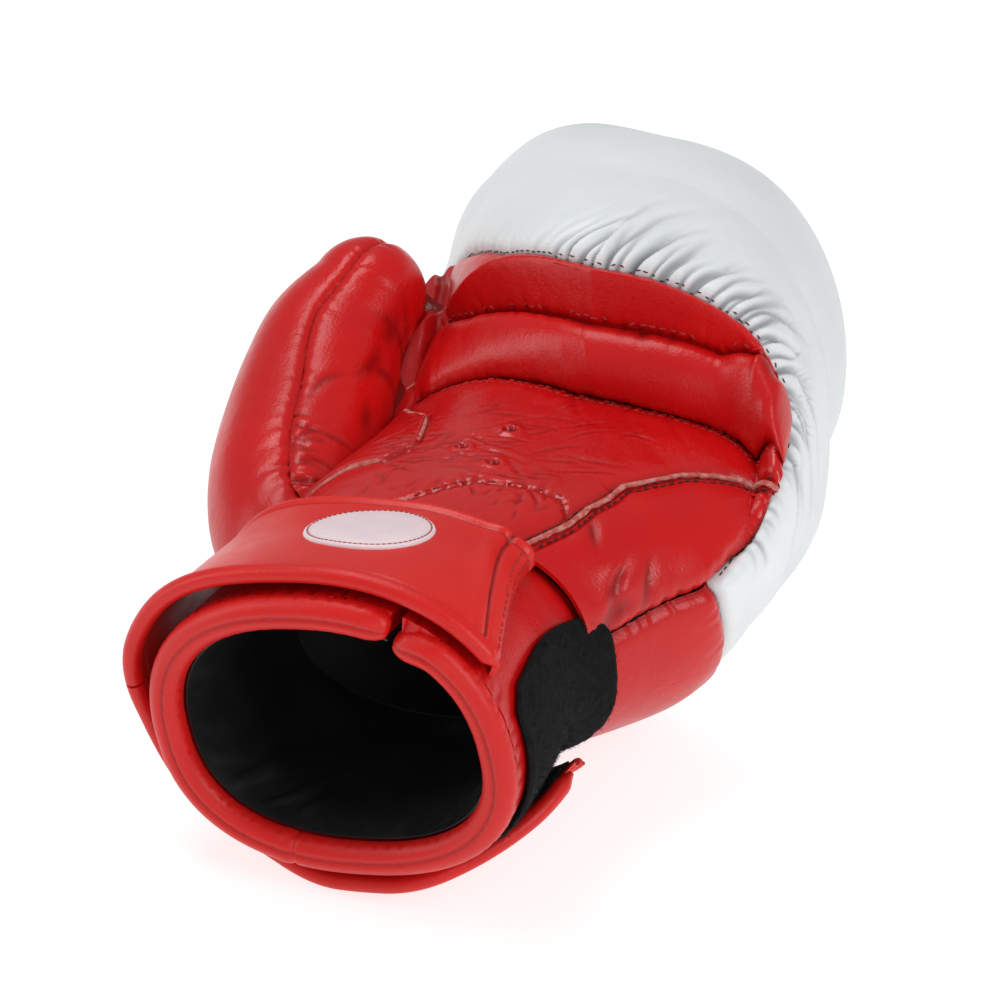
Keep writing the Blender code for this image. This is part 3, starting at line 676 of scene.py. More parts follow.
def settled(grid_shape, left, right, low, high):
    """A grid whose sides are given as angles by distance, and its ends as distances by angle."""
    rows, columns = grid_shape
    part = np.linspace(0.0, 1.0, columns)[None, :] * np.ones((rows, 1))
    rise = np.linspace(0.0, 1.0, rows)[:, None] * np.ones((1, columns))
    angle = right(np.full((rows, columns), 90.0)) * part
    for _ in range(60):
        start = low(angle)
        where = start + rise * (high(angle) - start)
        first = left(where)
        angle = 0.5 * angle + 0.5 * (first + part * (right(where) - first))
    return angle, where


def by(table, key=0):
    """Reads a table of corners as one value by the other."""
    rows = np.array(sorted((row[:2] for row in table), key=lambda row: row[key]), float)
    return lambda value: np.interp(value, rows[:, key], rows[:, 1 - key])


def smoothed(field, rounds):
    for _ in range(rounds):
        padded = np.pad(field, ((1, 1), (1, 1), (0, 0)), mode="edge")
        field = (padded[:-2, 1:-1] + padded[2:, 1:-1] + padded[1:-1, :-2] + padded[1:-1, 2:]) / 4.0
    return field


def outward_of(points, centre):
    found = smoothed(normals(points), 6)
    found /= np.maximum(np.linalg.norm(found, axis=-1, keepdims=True), 1e-9)
    facing = ((points - np.array(centre)) * found).sum()
    return found if facing > 0 else -found


def faces_out(points, centre):
    return float(((points - np.array(centre)) * normals(points)).sum()) < 0


MIDDLE = (10.0, 120.0, 45.0)

# %% [markdown]
# ## Thread
# A stitch is a small bead of thread: a sphere primitive, stretched along the seam. One is
# modelled, and its vertices are copied along every seam, in one mesh for each colour.

# %% One stitch, copied along a seam
bpy.ops.object.select_all(action="DESELECT")
bpy.ops.mesh.primitive_uv_sphere_add(segments=6, ring_count=5, radius=1.0)
STITCH = bpy.context.object
STITCH_POINTS = np.array([vertex.co[:] for vertex in STITCH.data.vertices])
STITCH_FACES = [list(face.vertices) for face in STITCH.data.polygons]
bpy.data.objects.remove(STITCH, do_unlink=True)
THREAD_PLACES = {"red": [], "dark": []}


def sew(points, outward, along, away, offset, spacing, span, colour="red", size=(1.15, 0.42)):
    """Places stitches on a laid grid, at an offset from a seam and at an even spacing."""
    close = np.abs(away - offset) < 1.6
    flat_points = points[close]
    flat_along = along[close]
    flat_away = away[close]
    flat_out = outward[close]
    if not len(flat_points):
        return
    found = []
    for place in np.arange(span[0], span[1], spacing):
        gap = (flat_along - place) ** 2 + (flat_away - offset) ** 2
        best = gap.argmin()
        if gap[best] < 1.2:
            found.append(np.concatenate([flat_points[best], flat_out[best]]))
    for i in range(1, len(found) - 1):
        run = found[i + 1][:3] - found[i - 1][:3]
        if np.linalg.norm(run) > 4.0 * spacing:
            continue
        THREAD_PLACES[colour].append((found[i][:3], run, found[i][3:], size))


def make_thread(name, places, material):
    all_points = []
    all_faces = []
    for place, run, out, size in places:
        run = run / max(np.linalg.norm(run), 1e-9)
        side = np.cross(run, out)
        side /= max(np.linalg.norm(side), 1e-9)
        out = np.cross(side, run)
        long, wide = size
        shaped = (
            place
            + np.outer(STITCH_POINTS[:, 2] * long, run)
            + np.outer(STITCH_POINTS[:, 0] * wide, side)
            + np.outer(STITCH_POINTS[:, 1] * wide * 0.8, out)
        )
        start = len(all_points) * len(STITCH_POINTS)
        all_points.append((shaped + SHIFT) * MM)
        all_faces.extend([[start + i for i in face] for face in STITCH_FACES])
    mesh = bpy.data.meshes.new(name)
    mesh.from_pydata(np.concatenate(all_points).tolist(), [], all_faces)
    piece = bpy.data.objects.new(name, mesh)
    bpy.context.scene.collection.objects.link(piece)
    return finish(piece, material, "mitt", ())


# %% [markdown]
# ## The white knuckle pad
# The white leather is cupped over the fingers. Its edge is gathered into the seam, with the
# strongest folds from the little finger's end to past the middle, so its shape there is all creases.

# %% Lay the knuckle pad
pad_edge = np.concatenate(
    [
        smooth_path(BACK_WHITE, 500),
        smooth_path(HEEL_WHITE, 300)[1:],
        smooth_path(PALM_WHITE, 500)[1:],
    ]
)
pad_edge = even(pad_edge, 620, lambda path: np.where(path[:, 2] < 0.0, 0.42, 1.0))
PAD_TURN = 215.0
near_rows = np.linspace(0.0, 1.0, 92) ** 0.9
far_rows = np.sin(np.linspace(0.0, math.pi / 2.0, 62))[1:]
pad_angle = pad_edge[None, :, 0] + (pad_edge[None, :, 2] - pad_edge[None, :, 0]) * near_rows[:, None]
pad_where = pad_edge[None, :, 1] + (PAD_TURN - pad_edge[None, :, 1]) * near_rows[:, None]
pad_angle = np.concatenate([pad_angle, np.repeat(pad_edge[None, :, 2], len(far_rows), axis=0)])
far_where = PAD_TURN + (TIP_END - PAD_TURN) * far_rows
pad_where = np.concatenate([pad_where, np.repeat(far_where[:, None], len(pad_edge), axis=1)])
pad = form(pad_angle, pad_where)
pad_out = outward_of(pad[:-1], MIDDLE)
pad_out = np.concatenate([pad_out, np.repeat([[[0.0, 1.0, 0.0]]], len(pad_edge), axis=1)])

palm_along, palm_away = beside(pad, LINES["palm_white"])
heel_along, heel_away = beside(pad, LINES["heel_white"])
back_along, back_away = beside(pad, LINES["back_white"])
edge_away = np.minimum(np.minimum(palm_away, heel_away), back_away)
relief = [
    gathers(palm_along, palm_away, (1, 124), 4.8, (14, 38), (0.8, 1.9), (0.75, 1.4), 3, -0.32, 0.3),
    gathers(palm_along, palm_away, (0, 116), 8.5, (28, 52), (0.9, 1.9), (1.0, 1.8), 5, -0.38, 0.3),
    gathers(palm_along, palm_away, (104, 200), 6.0, (6, 18), (0.15, 0.5), (1.0, 1.9), 7, -0.15, 0.3),
    gathers(heel_along, heel_away, (2, 62), 3.8, (9, 20), (0.4, 1.0), (0.65, 1.15), 9, 0.1, 0.25),
    gathers(back_along, back_away, (0, 330), 8.0, (6, 16), (0.12, 0.4), (0.9, 1.6), 11, 0.1),
]
height = sum(part[0] for part in relief)
fold = np.max([part[1] for part in relief], axis=0)
height = height * (1.0 - np.exp(-edge_away / 1.5) * 0.4)
height += 2.0 * (1.0 - np.exp(-edge_away / 6.0)) - 1.0
height -= 4.2 * ramp(pad_where, 168.0, 212.0) * ramp(pad[..., 2], 50.0, 100.0)
height -= 2.0 * ramp(pad_where, 168.0, 212.0) * (1.0 - ramp(pad[..., 0], -60.0, -20.0))
height += sewn_in(edge_away, 2.4, 1.6)
height += 0.35 * cloud(pad, 26.0, 1) * ramp(edge_away, 2.0, 20.0)
height[-1] = height[-2].mean()
pad_surface = pad + pad_out * height[..., None]
pad_surface[..., 2] = np.maximum(pad_surface[..., 2], 0.15)
pad_surface[-1] = pad_surface[-2].mean(axis=0)
inner_rows = np.array([91, 60, 30, 12, 4, 0])
inner = pad[inner_rows] - pad_out[inner_rows] * 4.0
inner[..., 2] = np.maximum(inner[..., 2], 3.0)
cap = np.repeat(inner[:1].mean(axis=1, keepdims=True), len(pad_edge), axis=1)
closed = np.concatenate([pad_surface[::-1], inner[::-1], cap])
pad_fold = np.concatenate([fold[::-1], np.zeros((len(inner_rows) + 1, len(pad_edge)))])
closed[:, -1] = closed[:, 0]
knuckle_pad = lay_grid("knuckle_pad", closed, outside=faces_out(pad_surface, MIDDLE) is False)
keep_fold_shade(knuckle_pad, pad_fold.ravel())
knuckle_pad = finish(
    knuckle_pad, WHITE_LEATHER, "mitt", ("knuckle_panel", "knuckle_foam")
)
sew(pad_surface, pad_out, palm_along, palm_away, 0.8, 2.4, (2, 200), "dark", (0.85, 0.28))
sew(pad_surface, pad_out, heel_along, heel_away, 0.8, 2.4, (2, 62), "dark", (0.85, 0.28))

# %% [markdown]
# ## Panels of the mitt
# The other panels are laid the same way. One function adds the draw of the seams, gives the
# leather its thickness and keeps the folds and seams as painted shade for the material.


# %% The function for a panel
def make_panel(name, angle, where, seams, relief, nodes, lift=0.0, material=RED_LEATHER):
    """A leather panel. seams holds (line, draw, reach) and relief makes heights from the grid."""
    base = form(angle, where)
    outward = outward_of(base, MIDDLE)
    height = np.full(base.shape[:2], lift, float)
    fold = np.zeros(base.shape[:2])
    near = []
    for line, draw, reach in seams:
        along, away = beside(base, line)
        near.append((along, away))
        height += sewn_in(away, draw, reach)
        # Painted shade along each seam, where the leather is drawn down into it.
        fold = np.maximum(fold, 0.55 * np.exp(-((away / 1.2) ** 2)))
    for made in relief(base, near):
        height += made[0]
        fold = np.maximum(fold, made[1])
    surface = base + outward * height[..., None]
    surface[..., 2] = np.maximum(surface[..., 2], 0.2)
    piece = lay_grid(name, surface, outside=faces_out(surface, MIDDLE) is False)
    keep_fold_shade(piece, fold.ravel())
    thicken(piece, LEATHER)
    finish(piece, material, "mitt", nodes)
    return surface, outward, near


# %% The back of the hand
HEEL_SIDE = HEEL_CREASE + tuple(corner[:2] for corner in HEEL_WHITE[1:5])
crease_angle = by(((0, 60), *HEEL_CREASE), key=1)
heel_side_angle = by(((0, 60), *HEEL_SIDE), key=1)
back_top = by(BACK_WHITE)
angle, where = settled(
    (90, 230),
    lambda where: np.full(where.shape, -182.0),
    lambda where: crease_angle(where) - 0.2,
    lambda angle: np.full(angle.shape, 61.0),
    lambda angle: back_top(angle) - 0.4,
)


def back_relief(base, near):
    yield gathers(*near[0], (0, 340), 7.0, (5, 14), (0.2, 0.6), (0.7, 1.3), 21)
    yield gathers(*near[1], (0, 50), 5.0, (4, 10), (0.2, 0.5), (0.6, 1.1), 22)
    yield 0.3 * cloud(base, 22.0, 4), 0.0


back_seams = [(LINES["back_white"], 2.4, 1.8), (LINES["heel_crease"], 2.4, 2.0)]
back = make_panel("back_leather", angle, where, back_seams, back_relief, ("back_panel",), lift=0.4)

# %% The heel of the hand
heel_top_angle = by(((54, 60), *HEEL_TOP), key=1)
angle, where = settled(
    (170, 130),
    lambda where: heel_side_angle(where) + 0.15,
    lambda where: np.maximum(heel_top_angle(where), heel_side_angle(where) + 0.3),
    lambda angle: np.full(angle.shape, 61.0),
    lambda angle: np.full(angle.shape, 150.8),
)


def heel_relief(base, near):
    inside = np.min([away for _, away in near], axis=0)
    yield 2.6 * (1.0 - np.exp(-inside / 7.0)), 0.0
    yield gathers(*near[0], (0, 50), 4.5, (4, 12), (0.25, 0.7), (0.6, 1.2), 31)
    yield gathers(*near[2], (10, 62), 4.2, (3, 8), (0.15, 0.45), (0.6, 1.0), 33)
    # A groove beside the stitches, with painted shade in it.
    groove = np.exp(-(((near[1][1] - 2.8) / 0.7) ** 2))
    yield -0.8 * groove, 0.4 * groove
    yield creases(base, 10, (44, 72, 60, 84), (75, 16), (5, 9), (0.3, 0.8), (1.0, 1.8), 34)
    yield 0.3 * cloud(base, 18.0, 6), 0.0


heel_seams = [
    (LINES["heel_crease"], 3.2, 2.2),
    (LINES["heel_top"], 1.2, 1.2),
    (LINES["heel_white"], 2.4, 1.8),
]
heel = make_panel("heel_leather", angle, where, heel_seams, heel_relief, ("heel_panel",), lift=0.5)
heel_surface, heel_out, heel_near = heel
sew(heel_surface, heel_out, *heel_near[1], 2.4, 2.8, (4, 150), "dark", (1.0, 0.38))

# %% The palm
PALM_ARC = ((96, 70), (93, 77), (90, 86), (81, 90), (72, 90), (66, 86))
VENTS = ((101, 117), (106, 101), (94, 97))
FLAP_EDGE = ((150, 80), (136, 87), (122, 89), (120, 94), (121, 101), (130, 115), (142, 118), (152, 124))
LINES["palm_arc"] = seam_line(PALM_ARC)
LINES["flap_edge"] = seam_line(FLAP_EDGE)
grip_low_where = by(GRIP_LOW)
angle, where = settled(
    (190, 250),
    lambda where: heel_top_angle(where) - 1.0,
    lambda where: np.interp(where, [62, 86, 112, 132], [150, 160, 176, 178]),
    lambda angle: np.full(angle.shape, 61.0),
    lambda angle: grip_low_where(angle) + 0.6 + 26.0 * ramp(angle, 138.0, 156.0),
)


def inside_flap(angle, where):
    """1 on the thumb's side of the curled edge, 0 on the palm's side."""
    low = np.interp(angle, [118, 120, 122, 136, 150], [101, 94, 89, 87, 80])
    high = np.interp(angle, [118, 121, 130, 142, 152], [94, 101, 115, 118, 124])
    return np.clip(np.minimum(where - low, high - where) / 1.2, 0.0, 1.0)


flap = inside_flap(angle, where)


def palm_relief(base, near):
    inside = np.min([near[i][1] for i in (0, 1)], axis=0)
    yield 1.6 * (1.0 - np.exp(-inside / 8.0)), 0.0
    yield gathers(*near[1], (10, 140), 3.6, (4, 15), (0.12, 0.42), (0.5, 1.0), 41, 0.2)
    yield gathers(*near[1], (40, 120), 9.0, (16, 34), (0.12, 0.34), (0.6, 1.1), 42, -0.4)
    yield gathers(*near[0], (6, 150), 4.4, (3, 8), (0.12, 0.35), (0.5, 1.0), 43)
    yield gathers(*near[2], (0, 60), 3.2, (3, 8), (0.12, 0.4), (0.5, 0.9), 44)
    yield creases(base, 46, (-26, 26, 88, 112), (18, 24), (4, 10), (0.08, 0.34), (0.5, 1.0), 45)
    yield creases(base, 34, (-30, 40, 104, 146), (38, 26), (5, 13), (0.06, 0.24), (0.5, 1.0), 46)
    yield creases(base, 26, (-20, 30, 74, 88), (80, 25), (2, 6), (0.10, 0.34), (0.5, 0.9), 47)
    yield 0.5 * cloud(base, 19.0, 8) + 0.12 * cloud(base, 6.0, 9), 0.0
    yield 1.3 * flap, 0.0
    # Each vent is a dimple with a raised ring, and its hole is painted dark as shade.
    for vent_angle, vent_where in VENTS:
        hole = form(np.array([vent_angle]), np.array([vent_where]))[0]
        gap = np.linalg.norm(base - hole, axis=-1)
        yield 0.7 * np.exp(-(((gap - 2.6) / 1.2) ** 2)) - 3.2 * np.exp(-((gap / 1.3) ** 4)), np.exp(
            -((gap / 1.7) ** 4)
        )


palm_seams = [
    (LINES["heel_top"], 2.6, 2.4),
    (LINES["grip_low"], 1.0, 1.6),
    (LINES["palm_arc"], 1.0, 1.2),
    (LINES["flap_edge"], 0.7, 0.8),
]
palm = make_panel(
    "palm_leather", angle, where, palm_seams, palm_relief, ("palm_panel", "palm_foam"), material=PALM_LEATHER
)
palm_surface, palm_out, palm_near = palm
for offset in (2.0, 4.4):
    sew(palm_surface, palm_out, *palm_near[1], offset, 2.5, (6, 140), "red", (0.95, 0.3))
sew(palm_surface, palm_out, *palm_near[2], 1.2, 2.6, (0, 60), "red")
sew(palm_surface, palm_out, *palm_near[0], 1.9, 2.8, (4, 150), "dark", (1.0, 0.38))

# %% The cut edge of the heel's leather
def make_ribbon(name, line, outward, wide, thick, seed):
    """A thin strip of cut leather that stands along a seam, with an uneven edge."""
    random = np.random.default_rng(seed)
    count = len(line)
    tangent = np.gradient(line, axis=0)
    tangent /= np.linalg.norm(tangent, axis=1, keepdims=True)
    side = np.cross(tangent, outward)
    knots = np.arange(0, count + 4, 3)
    bends = random.uniform(-1, 1, (count + 6) // 3 + 1)[: len(knots)]
    waves = np.interp(np.arange(count), knots, bends)
    reach = wide * (1.0 + 0.22 * waves)[:, None]
    profile = []
    for across, up in ((0.0, -0.8), (0.0, 0.35), (0.5, 0.75), (1.0, 0.55), (1.0, -0.1), (0.5, 0.05)):
        profile.append(line + side * reach * across + outward * (up * thick))
    loop = np.stack(profile + profile[:1])
    piece = lay_grid(name, loop, wrap=True, outside=False)
    bpy.ops.object.mode_set(mode="EDIT")
    bpy.ops.mesh.select_all(action="SELECT")
    bpy.ops.mesh.fill_holes(sides=0)
    bpy.ops.mesh.normals_make_consistent(inside=False)
    bpy.ops.object.mode_set(mode="OBJECT")
    finish(piece, RAW_EDGE, "mitt", ())


def on_surface(table, lift, count=400):
    """A path over the form at a height, with the direction out of the leather at each point."""
    path = smooth_path(table, count)
    base = form(path[:, 0], path[:, 1])
    nudge = 0.6
    turn = form(path[:, 0] + nudge, path[:, 1]) - form(path[:, 0] - nudge, path[:, 1])
    run = form(path[:, 0], path[:, 1] + nudge) - form(path[:, 0], path[:, 1] - nudge)
    outward = np.cross(run, turn)
    outward /= np.linalg.norm(outward, axis=-1, keepdims=True)
    line = resampled(np.concatenate([base + outward * lift, outward], axis=1), 0.8)
    outward = line[:, 3:] / np.linalg.norm(line[:, 3:], axis=1, keepdims=True)
    return line[:, :3], outward


line, outward = on_surface(HEEL_TOP, 1.6)
make_ribbon("heel_cut_edge", line, outward, 1.5, 0.9, 51)
line, outward = on_surface(FLAP_EDGE, 1.7, count=32)
make_ribbon("flap_cut_edge", line, outward, -1.3, 0.7, 52)
FLAP_STITCHES = ((150, 84), (138, 91), (129, 96), (128, 102), (136, 110), (150, 117))
line, outward = on_surface(FLAP_STITCHES, 1.7)
for i in range(1, len(line) - 1, 3):
    THREAD_PLACES["dark"].append((line[i], line[i + 1] - line[i - 1], outward[i], (0.9, 0.3)))

# %% The finger panel
white_where = by(PALM_WHITE[3:])
grip_high_where = by(GRIP_HIGH)
angle, where = settled(
    (70, 230),
    lambda where: np.full(where.shape, 27.5),
    lambda where: np.full(where.shape, 178.0),
    lambda angle: np.minimum(grip_high_where(angle) - 1.6, white_where(angle) - 2.0),
    lambda angle: white_where(angle) - 0.15,
)


def finger_relief(base, near):
    yield gathers(*near[0], (0, 210), 5.0, (2, 7), (0.15, 0.45), (0.6, 1.1), 61)
    yield gathers(*near[1], (0, 150), 4.6, (3, 9), (0.2, 0.6), (0.6, 1.2), 62)
    yield 0.3 * cloud(base, 16.0, 11), 0.0


finger_seams = [(LINES["palm_white"], 2.4, 1.9), (LINES["grip_high"], 1.8, 1.9)]
fingers = make_panel("finger_leather", angle, where, finger_seams, finger_relief, ("finger_panel",))
finger_surface, finger_out, finger_near = fingers
sew(finger_surface, finger_out, *finger_near[1], 2.4, 2.9, (4, 170), "red")

# %% [markdown]
# ## The grip bar
# The roll across the palm is a soft tube, sewn down along both sides. Its rings are arcs between
# the two seams, and small gathers pull in at both of them.

# %% Roll the grip bar
def make_grip_roll():
    low = even(smooth_path(GRIP_LOW), 300)
    high = even(smooth_path(GRIP_HIGH), 300)
    first = form(low[:, 0], low[:, 1])
    second = form(high[:, 0], high[:, 1])
    middle = (first + second) / 2.0
    half = (second - first) / 2.0
    reach = np.linalg.norm(half, axis=1)
    toward = np.array([-0.05, -0.80, 0.60])
    unit = half / reach[:, None]
    bulge = toward - unit * (unit @ toward)[:, None]
    bulge /= np.linalg.norm(bulge, axis=1, keepdims=True)
    share = np.linspace(0.0, 1.0, 300)
    plump = ramp(share, 0.0, 0.07) * (1.0 - ramp(share, 0.86, 1.0))
    tall = 2.2 + 4.6 * plump * (1.0 - 0.5 * ramp(share, 0.52, 0.85))
    length = arc(middle)
    turns = np.linspace(0.0, 2.0 * math.pi, 65)
    rings = []
    folds = []
    random = np.random.default_rng(71)
    places = np.arange(4.0, length[-1] - 2.0, 2.6)
    places = places + random.uniform(-1, 1, 400)[: len(places)]
    pulls = []
    for place in places:
        pulls.append((place, random.uniform(0.9, 1.7), random.uniform(0.25, 0.8), random.random() < 0.5))
    for turn in turns:
        up = math.sin(turn)
        across = -math.cos(turn)
        shape_up = math.copysign(abs(up) ** 0.86, up)
        if up <= 0:
            shape_up = shape_up * 0.3
        out = bulge * (shape_up * tall)[:, None]
        point = middle + half * across * 1.02 + out
        near_seam = math.exp(-((1.0 - abs(across)) / 0.16))
        dent = np.zeros(300)
        for place, wide, deep, at_high in pulls:
            if (across > 0) == at_high:
                dent += deep * np.exp(-(((length - place) / wide) ** 2))
        dent = dent * near_seam * (1.0 if up > -0.2 else 0.0)
        rings.append(point - bulge * dent[:, None])
        # Painted shade in the pulls and along both seams of the roll.
        folds.append(np.clip(dent * 0.7 + 0.15 * near_seam, 0, 1))
    grid = np.stack(rings)
    wobble = 0.35 * cloud(grid, 14.0, 15)
    grid = grid + bulge[None] * wobble[..., None]
    grid[-1] = grid[0]
    ends = grid.mean(axis=0, keepdims=True)
    grid[:, 0] = ends[:, 0]
    grid[:, -1] = ends[:, -1]
    piece = lay_grid("grip_bar", grid, outside=False)
    keep_fold_shade(piece, np.stack(folds).ravel())
    bpy.ops.object.mode_set(mode="EDIT")
    bpy.ops.mesh.select_all(action="SELECT")
    bpy.ops.mesh.remove_doubles(threshold=0.00001)
    bpy.ops.mesh.normals_make_consistent(inside=False)
    bpy.ops.object.mode_set(mode="OBJECT")
    nodes = ("grip_bar_sleeve", "grip_bar_core")
    finish(piece, RED_LEATHER, "mitt", nodes)


make_grip_roll()

# %% [markdown]
# ## The thumb
# The thumb is a bent tube of rings that closes in a round tip, in two panels. The seam between
# them runs along its top. At its root the leather is sewn to the palm.


# %% Rings along the thumb
def thumb_rings(angles, count):
    """Rings along the thumb, one row of angles for each ring, closing in a round tip."""
    centres, radii = thumb_line(count)
    tangents = np.gradient(centres, axis=0)
    tangents /= np.linalg.norm(tangents, axis=1, keepdims=True)
    side = np.array([1.0, 0.0, 0.0])
    across = side - tangents * (tangents @ side)[:, None]
    across /= np.linalg.norm(across, axis=1, keepdims=True)
    up = np.cross(across, tangents)
    rings = []
    for i in range(count):
        turn = np.radians(angles[i])[:, None]
        ring = np.cos(turn) * across[i] + np.sin(turn) * up[i]
        rings.append(centres[i] + ring * radii[i])
    turn = np.radians(angles[-1])[:, None]
    ring = np.cos(turn) * across[-1] + np.sin(turn) * up[-1]
    for end in np.linspace(0.0, math.pi / 2.0, 40)[1:]:
        ahead = centres[-1] + tangents[-1] * radii[-1] * math.sin(end)
        rings.append(ahead + ring * radii[-1] * math.cos(end))
    return np.array(rings)


THUMB_RINGS = 110
THUMB_SEAM_ANGLE = np.interp(np.linspace(0.0, 8.0, THUMB_RINGS), (0, 1, 3, 6, 8), (79, 80, 82, 86, 93))


def make_thumb_panel(name, start, nodes, seed, columns=150):
    seam_angle = THUMB_SEAM_ANGLE
    if start == 0:
        spread = np.linspace(0.0, 180.0, columns)
    else:
        spread = np.linspace(-180.0, 0.0, columns)
    angles = seam_angle[:, None] + spread[None, :]
    base = thumb_rings(angles, THUMB_RINGS)
    outward = outward_of(base[:-1], base[: THUMB_RINGS // 2].reshape(-1, 3).mean(axis=0))
    outward = np.concatenate([outward, outward[-1:]])
    seam_curve = thumb_rings(seam_angle[:, None] + np.zeros((1, 1)), THUMB_RINGS)[:, 0]
    line = resampled(seam_curve, 1.0)
    along, away = beside(base, line)
    height = sewn_in(away, 1.2, 1.5) + 0.8 * (1.0 - np.exp(-away / 7.0))
    fold = 0.4 * np.exp(-((away / 0.9) ** 2))
    parts = [
        gathers(along, away, (2, 130), 4.6, (3, 9), (0.12, 0.42), (0.6, 1.1), seed, 0.3),
        gathers(along, away, (0, 46), 7.5, (8, 20), (0.2, 0.6), (0.9, 1.6), seed + 1, -0.4),
        (0.5 * cloud(base, 21.0, seed) + 0.1 * cloud(base, 8.0, seed + 2), 0.0),
    ]
    if start != 0:
        wrinkles = creases(base, 22, (-60, -36, 84, 112), (25, 20), (4, 10), (0.2, 0.6), (0.7, 1.3), seed + 3)
        parts.append(wrinkles)
        long_area = (-56, -38, 120, 165)
        parts.append(creases(base, 8, long_area, (75, 18), (6, 14), (0.1, 0.3), (1.0, 1.8), seed + 4))
    for made in parts:
        height = height + made[0]
        fold = np.maximum(fold, made[1])
    height[-1] = height[-2].mean()
    surface = base + outward * height[..., None]
    surface[-1] = surface[-2].mean(axis=0)
    surface[..., 2] = np.maximum(surface[..., 2], 1.0)
    centre = base[: THUMB_RINGS // 2].reshape(-1, 3).mean(axis=0)
    piece = lay_grid(name, surface, outside=not faces_out(surface, centre))
    keep_fold_shade(piece, fold.ravel())
    thicken(piece, LEATHER)
    finish(piece, RED_LEATHER, None, nodes)
    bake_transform(piece)


make_thumb_panel("thumb_outer", 0, ("thumb_outer_panel", "thumb_foam"), 81)
make_thumb_panel("thumb_inner", 1, ("thumb_inner_panel", "thumb_lining"), 91)


# %% The tie between the thumb and the fingers
def make_tie():
    rings = thumb_rings(np.array([[44.0]] * THUMB_RINGS), THUMB_RINGS)[:, 0]
    on_thumb = rings[[44, 62, 80, 98, 114, 128]] + np.array([-2.5, 0.0, -1.5])
    corners = ((150, 122), (150, 138), (150, 154), (153, 168), (157, 181), (160, 193))
    on_mitt = form([corner[0] for corner in corners], [corner[1] for corner in corners])
    on_mitt = on_mitt + np.array([3.5, 0.0, -1.5])
    part = np.linspace(0.0, 1.0, 60)[None, :, None]
    first = resampled(on_thumb, 0.9)
    count = len(first)
    at = np.linspace(0, 5, count)
    second = np.stack([np.interp(at, np.arange(6), on_mitt[:, i]) for i in range(3)], -1)
    grid = first[:, None] + (second - first)[:, None] * part
    share = part[..., 0]
    grid[..., 2] -= 8.0 * np.exp(-(((share - 0.36) / 0.26) ** 2)) * np.sin(share * math.pi) ** 0.5
    grid[..., 2] -= 3.0 * np.exp(-(((share - 0.75) / 0.10) ** 2))
    grid += outward_of(grid, (-45.0, 185.0, 60.0)) * (0.4 * cloud(grid, 8.0, 23))[..., None]
    piece = lay_grid("thumb_tie_web", grid, outside=not faces_out(grid, (-45.0, 185.0, 20.0)))
    # Painted shade: the web's colour is darkened all over, and most in its two sags.
    dark = 0.35 + 0.6 * np.exp(-(((share - 0.36) / 0.09) ** 2))
    dark = dark + 0.2 * np.exp(-(((share - 0.75) / 0.06) ** 2))
    keep_fold_shade(piece, (dark * np.ones(grid.shape[:2])).ravel())
    thicken(piece, FOLDED_LEATHER)
    finish(piece, RED_LEATHER, None, ("thumb_tie",))
    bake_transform(piece)


make_tie()


# %% The wall of leather between the thumb and the palm
def make_thumb_wall():
    rings = thumb_rings(np.full((THUMB_RINGS, 1), 14.0), THUMB_RINGS)[:, 0]
    on_thumb = resampled(rings[34:136], 1.2) + np.array([-3.0, 0.0, -1.0])
    turn = np.linspace(150.0, 159.0, 80)
    where = np.linspace(96.0, 190.0, 80)
    side = form(turn, where) + np.array([3.0, 0.0, -1.0])
    on_palm = np.stack([np.interp(on_thumb[:, 1], side[:, 1], side[:, i]) for i in range(3)], -1)
    on_palm[:, 1] = on_thumb[:, 1]
    share = np.linspace(0.0, 1.0, 40)[None, :, None]
    part = np.linspace(0.0, 1.0, len(on_thumb))[:, None]
    grid = on_thumb[:, None] + (on_palm - on_thumb)[:, None] * share
    sag = np.sin(share[..., 0] * math.pi)
    grid[..., 2] -= (6.5 - 3.5 * part) * sag
    piece = lay_grid("thumb_wall", grid, outside=not faces_out(grid, (-45.0, 150.0, 20.0)))
    # Painted shade: the wall's colour is darkened all over, and most where it sags.
    keep_fold_shade(piece, (0.6 + 0.35 * sag * np.ones(grid.shape[:2])).ravel())
    thicken(piece, FOLDED_LEATHER)
    finish(piece, RED_LEATHER, None, ())
    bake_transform(piece)


make_thumb_wall()

# %% [markdown]
# ## The cuff
# The cuff is a padded tube, open along the slit under the strap. Its rim is bound with a folded
# leather strip, which shows as two soft lobes with a groove between them.

# %% Cuff leather, lining and the hand's lining
SLIT = 60.0
CUFF_WALL = 8.0
LINING_DEPTH = 9.4


def sheet_at(angle, where, depth):
    base = form(angle, where)
    turn = form(angle + 4.0, where) - form(angle - 4.0, where)
    run = form(angle, where + 2.0) - form(angle, where - 2.0)
    outward = np.cross(run, turn)
    outward /= np.maximum(np.linalg.norm(outward, axis=-1, keepdims=True), 1e-9)
    return base - outward * np.asarray(depth)[..., None], outward


def grid_of(first_angle, last_angle, first_where, last_where, columns, rows):
    angle = np.linspace(first_angle, last_angle, columns)[None, :] * np.ones((rows, 1))
    where = np.linspace(first_where, last_where, rows)[:, None] * np.ones((1, columns))
    return angle, where


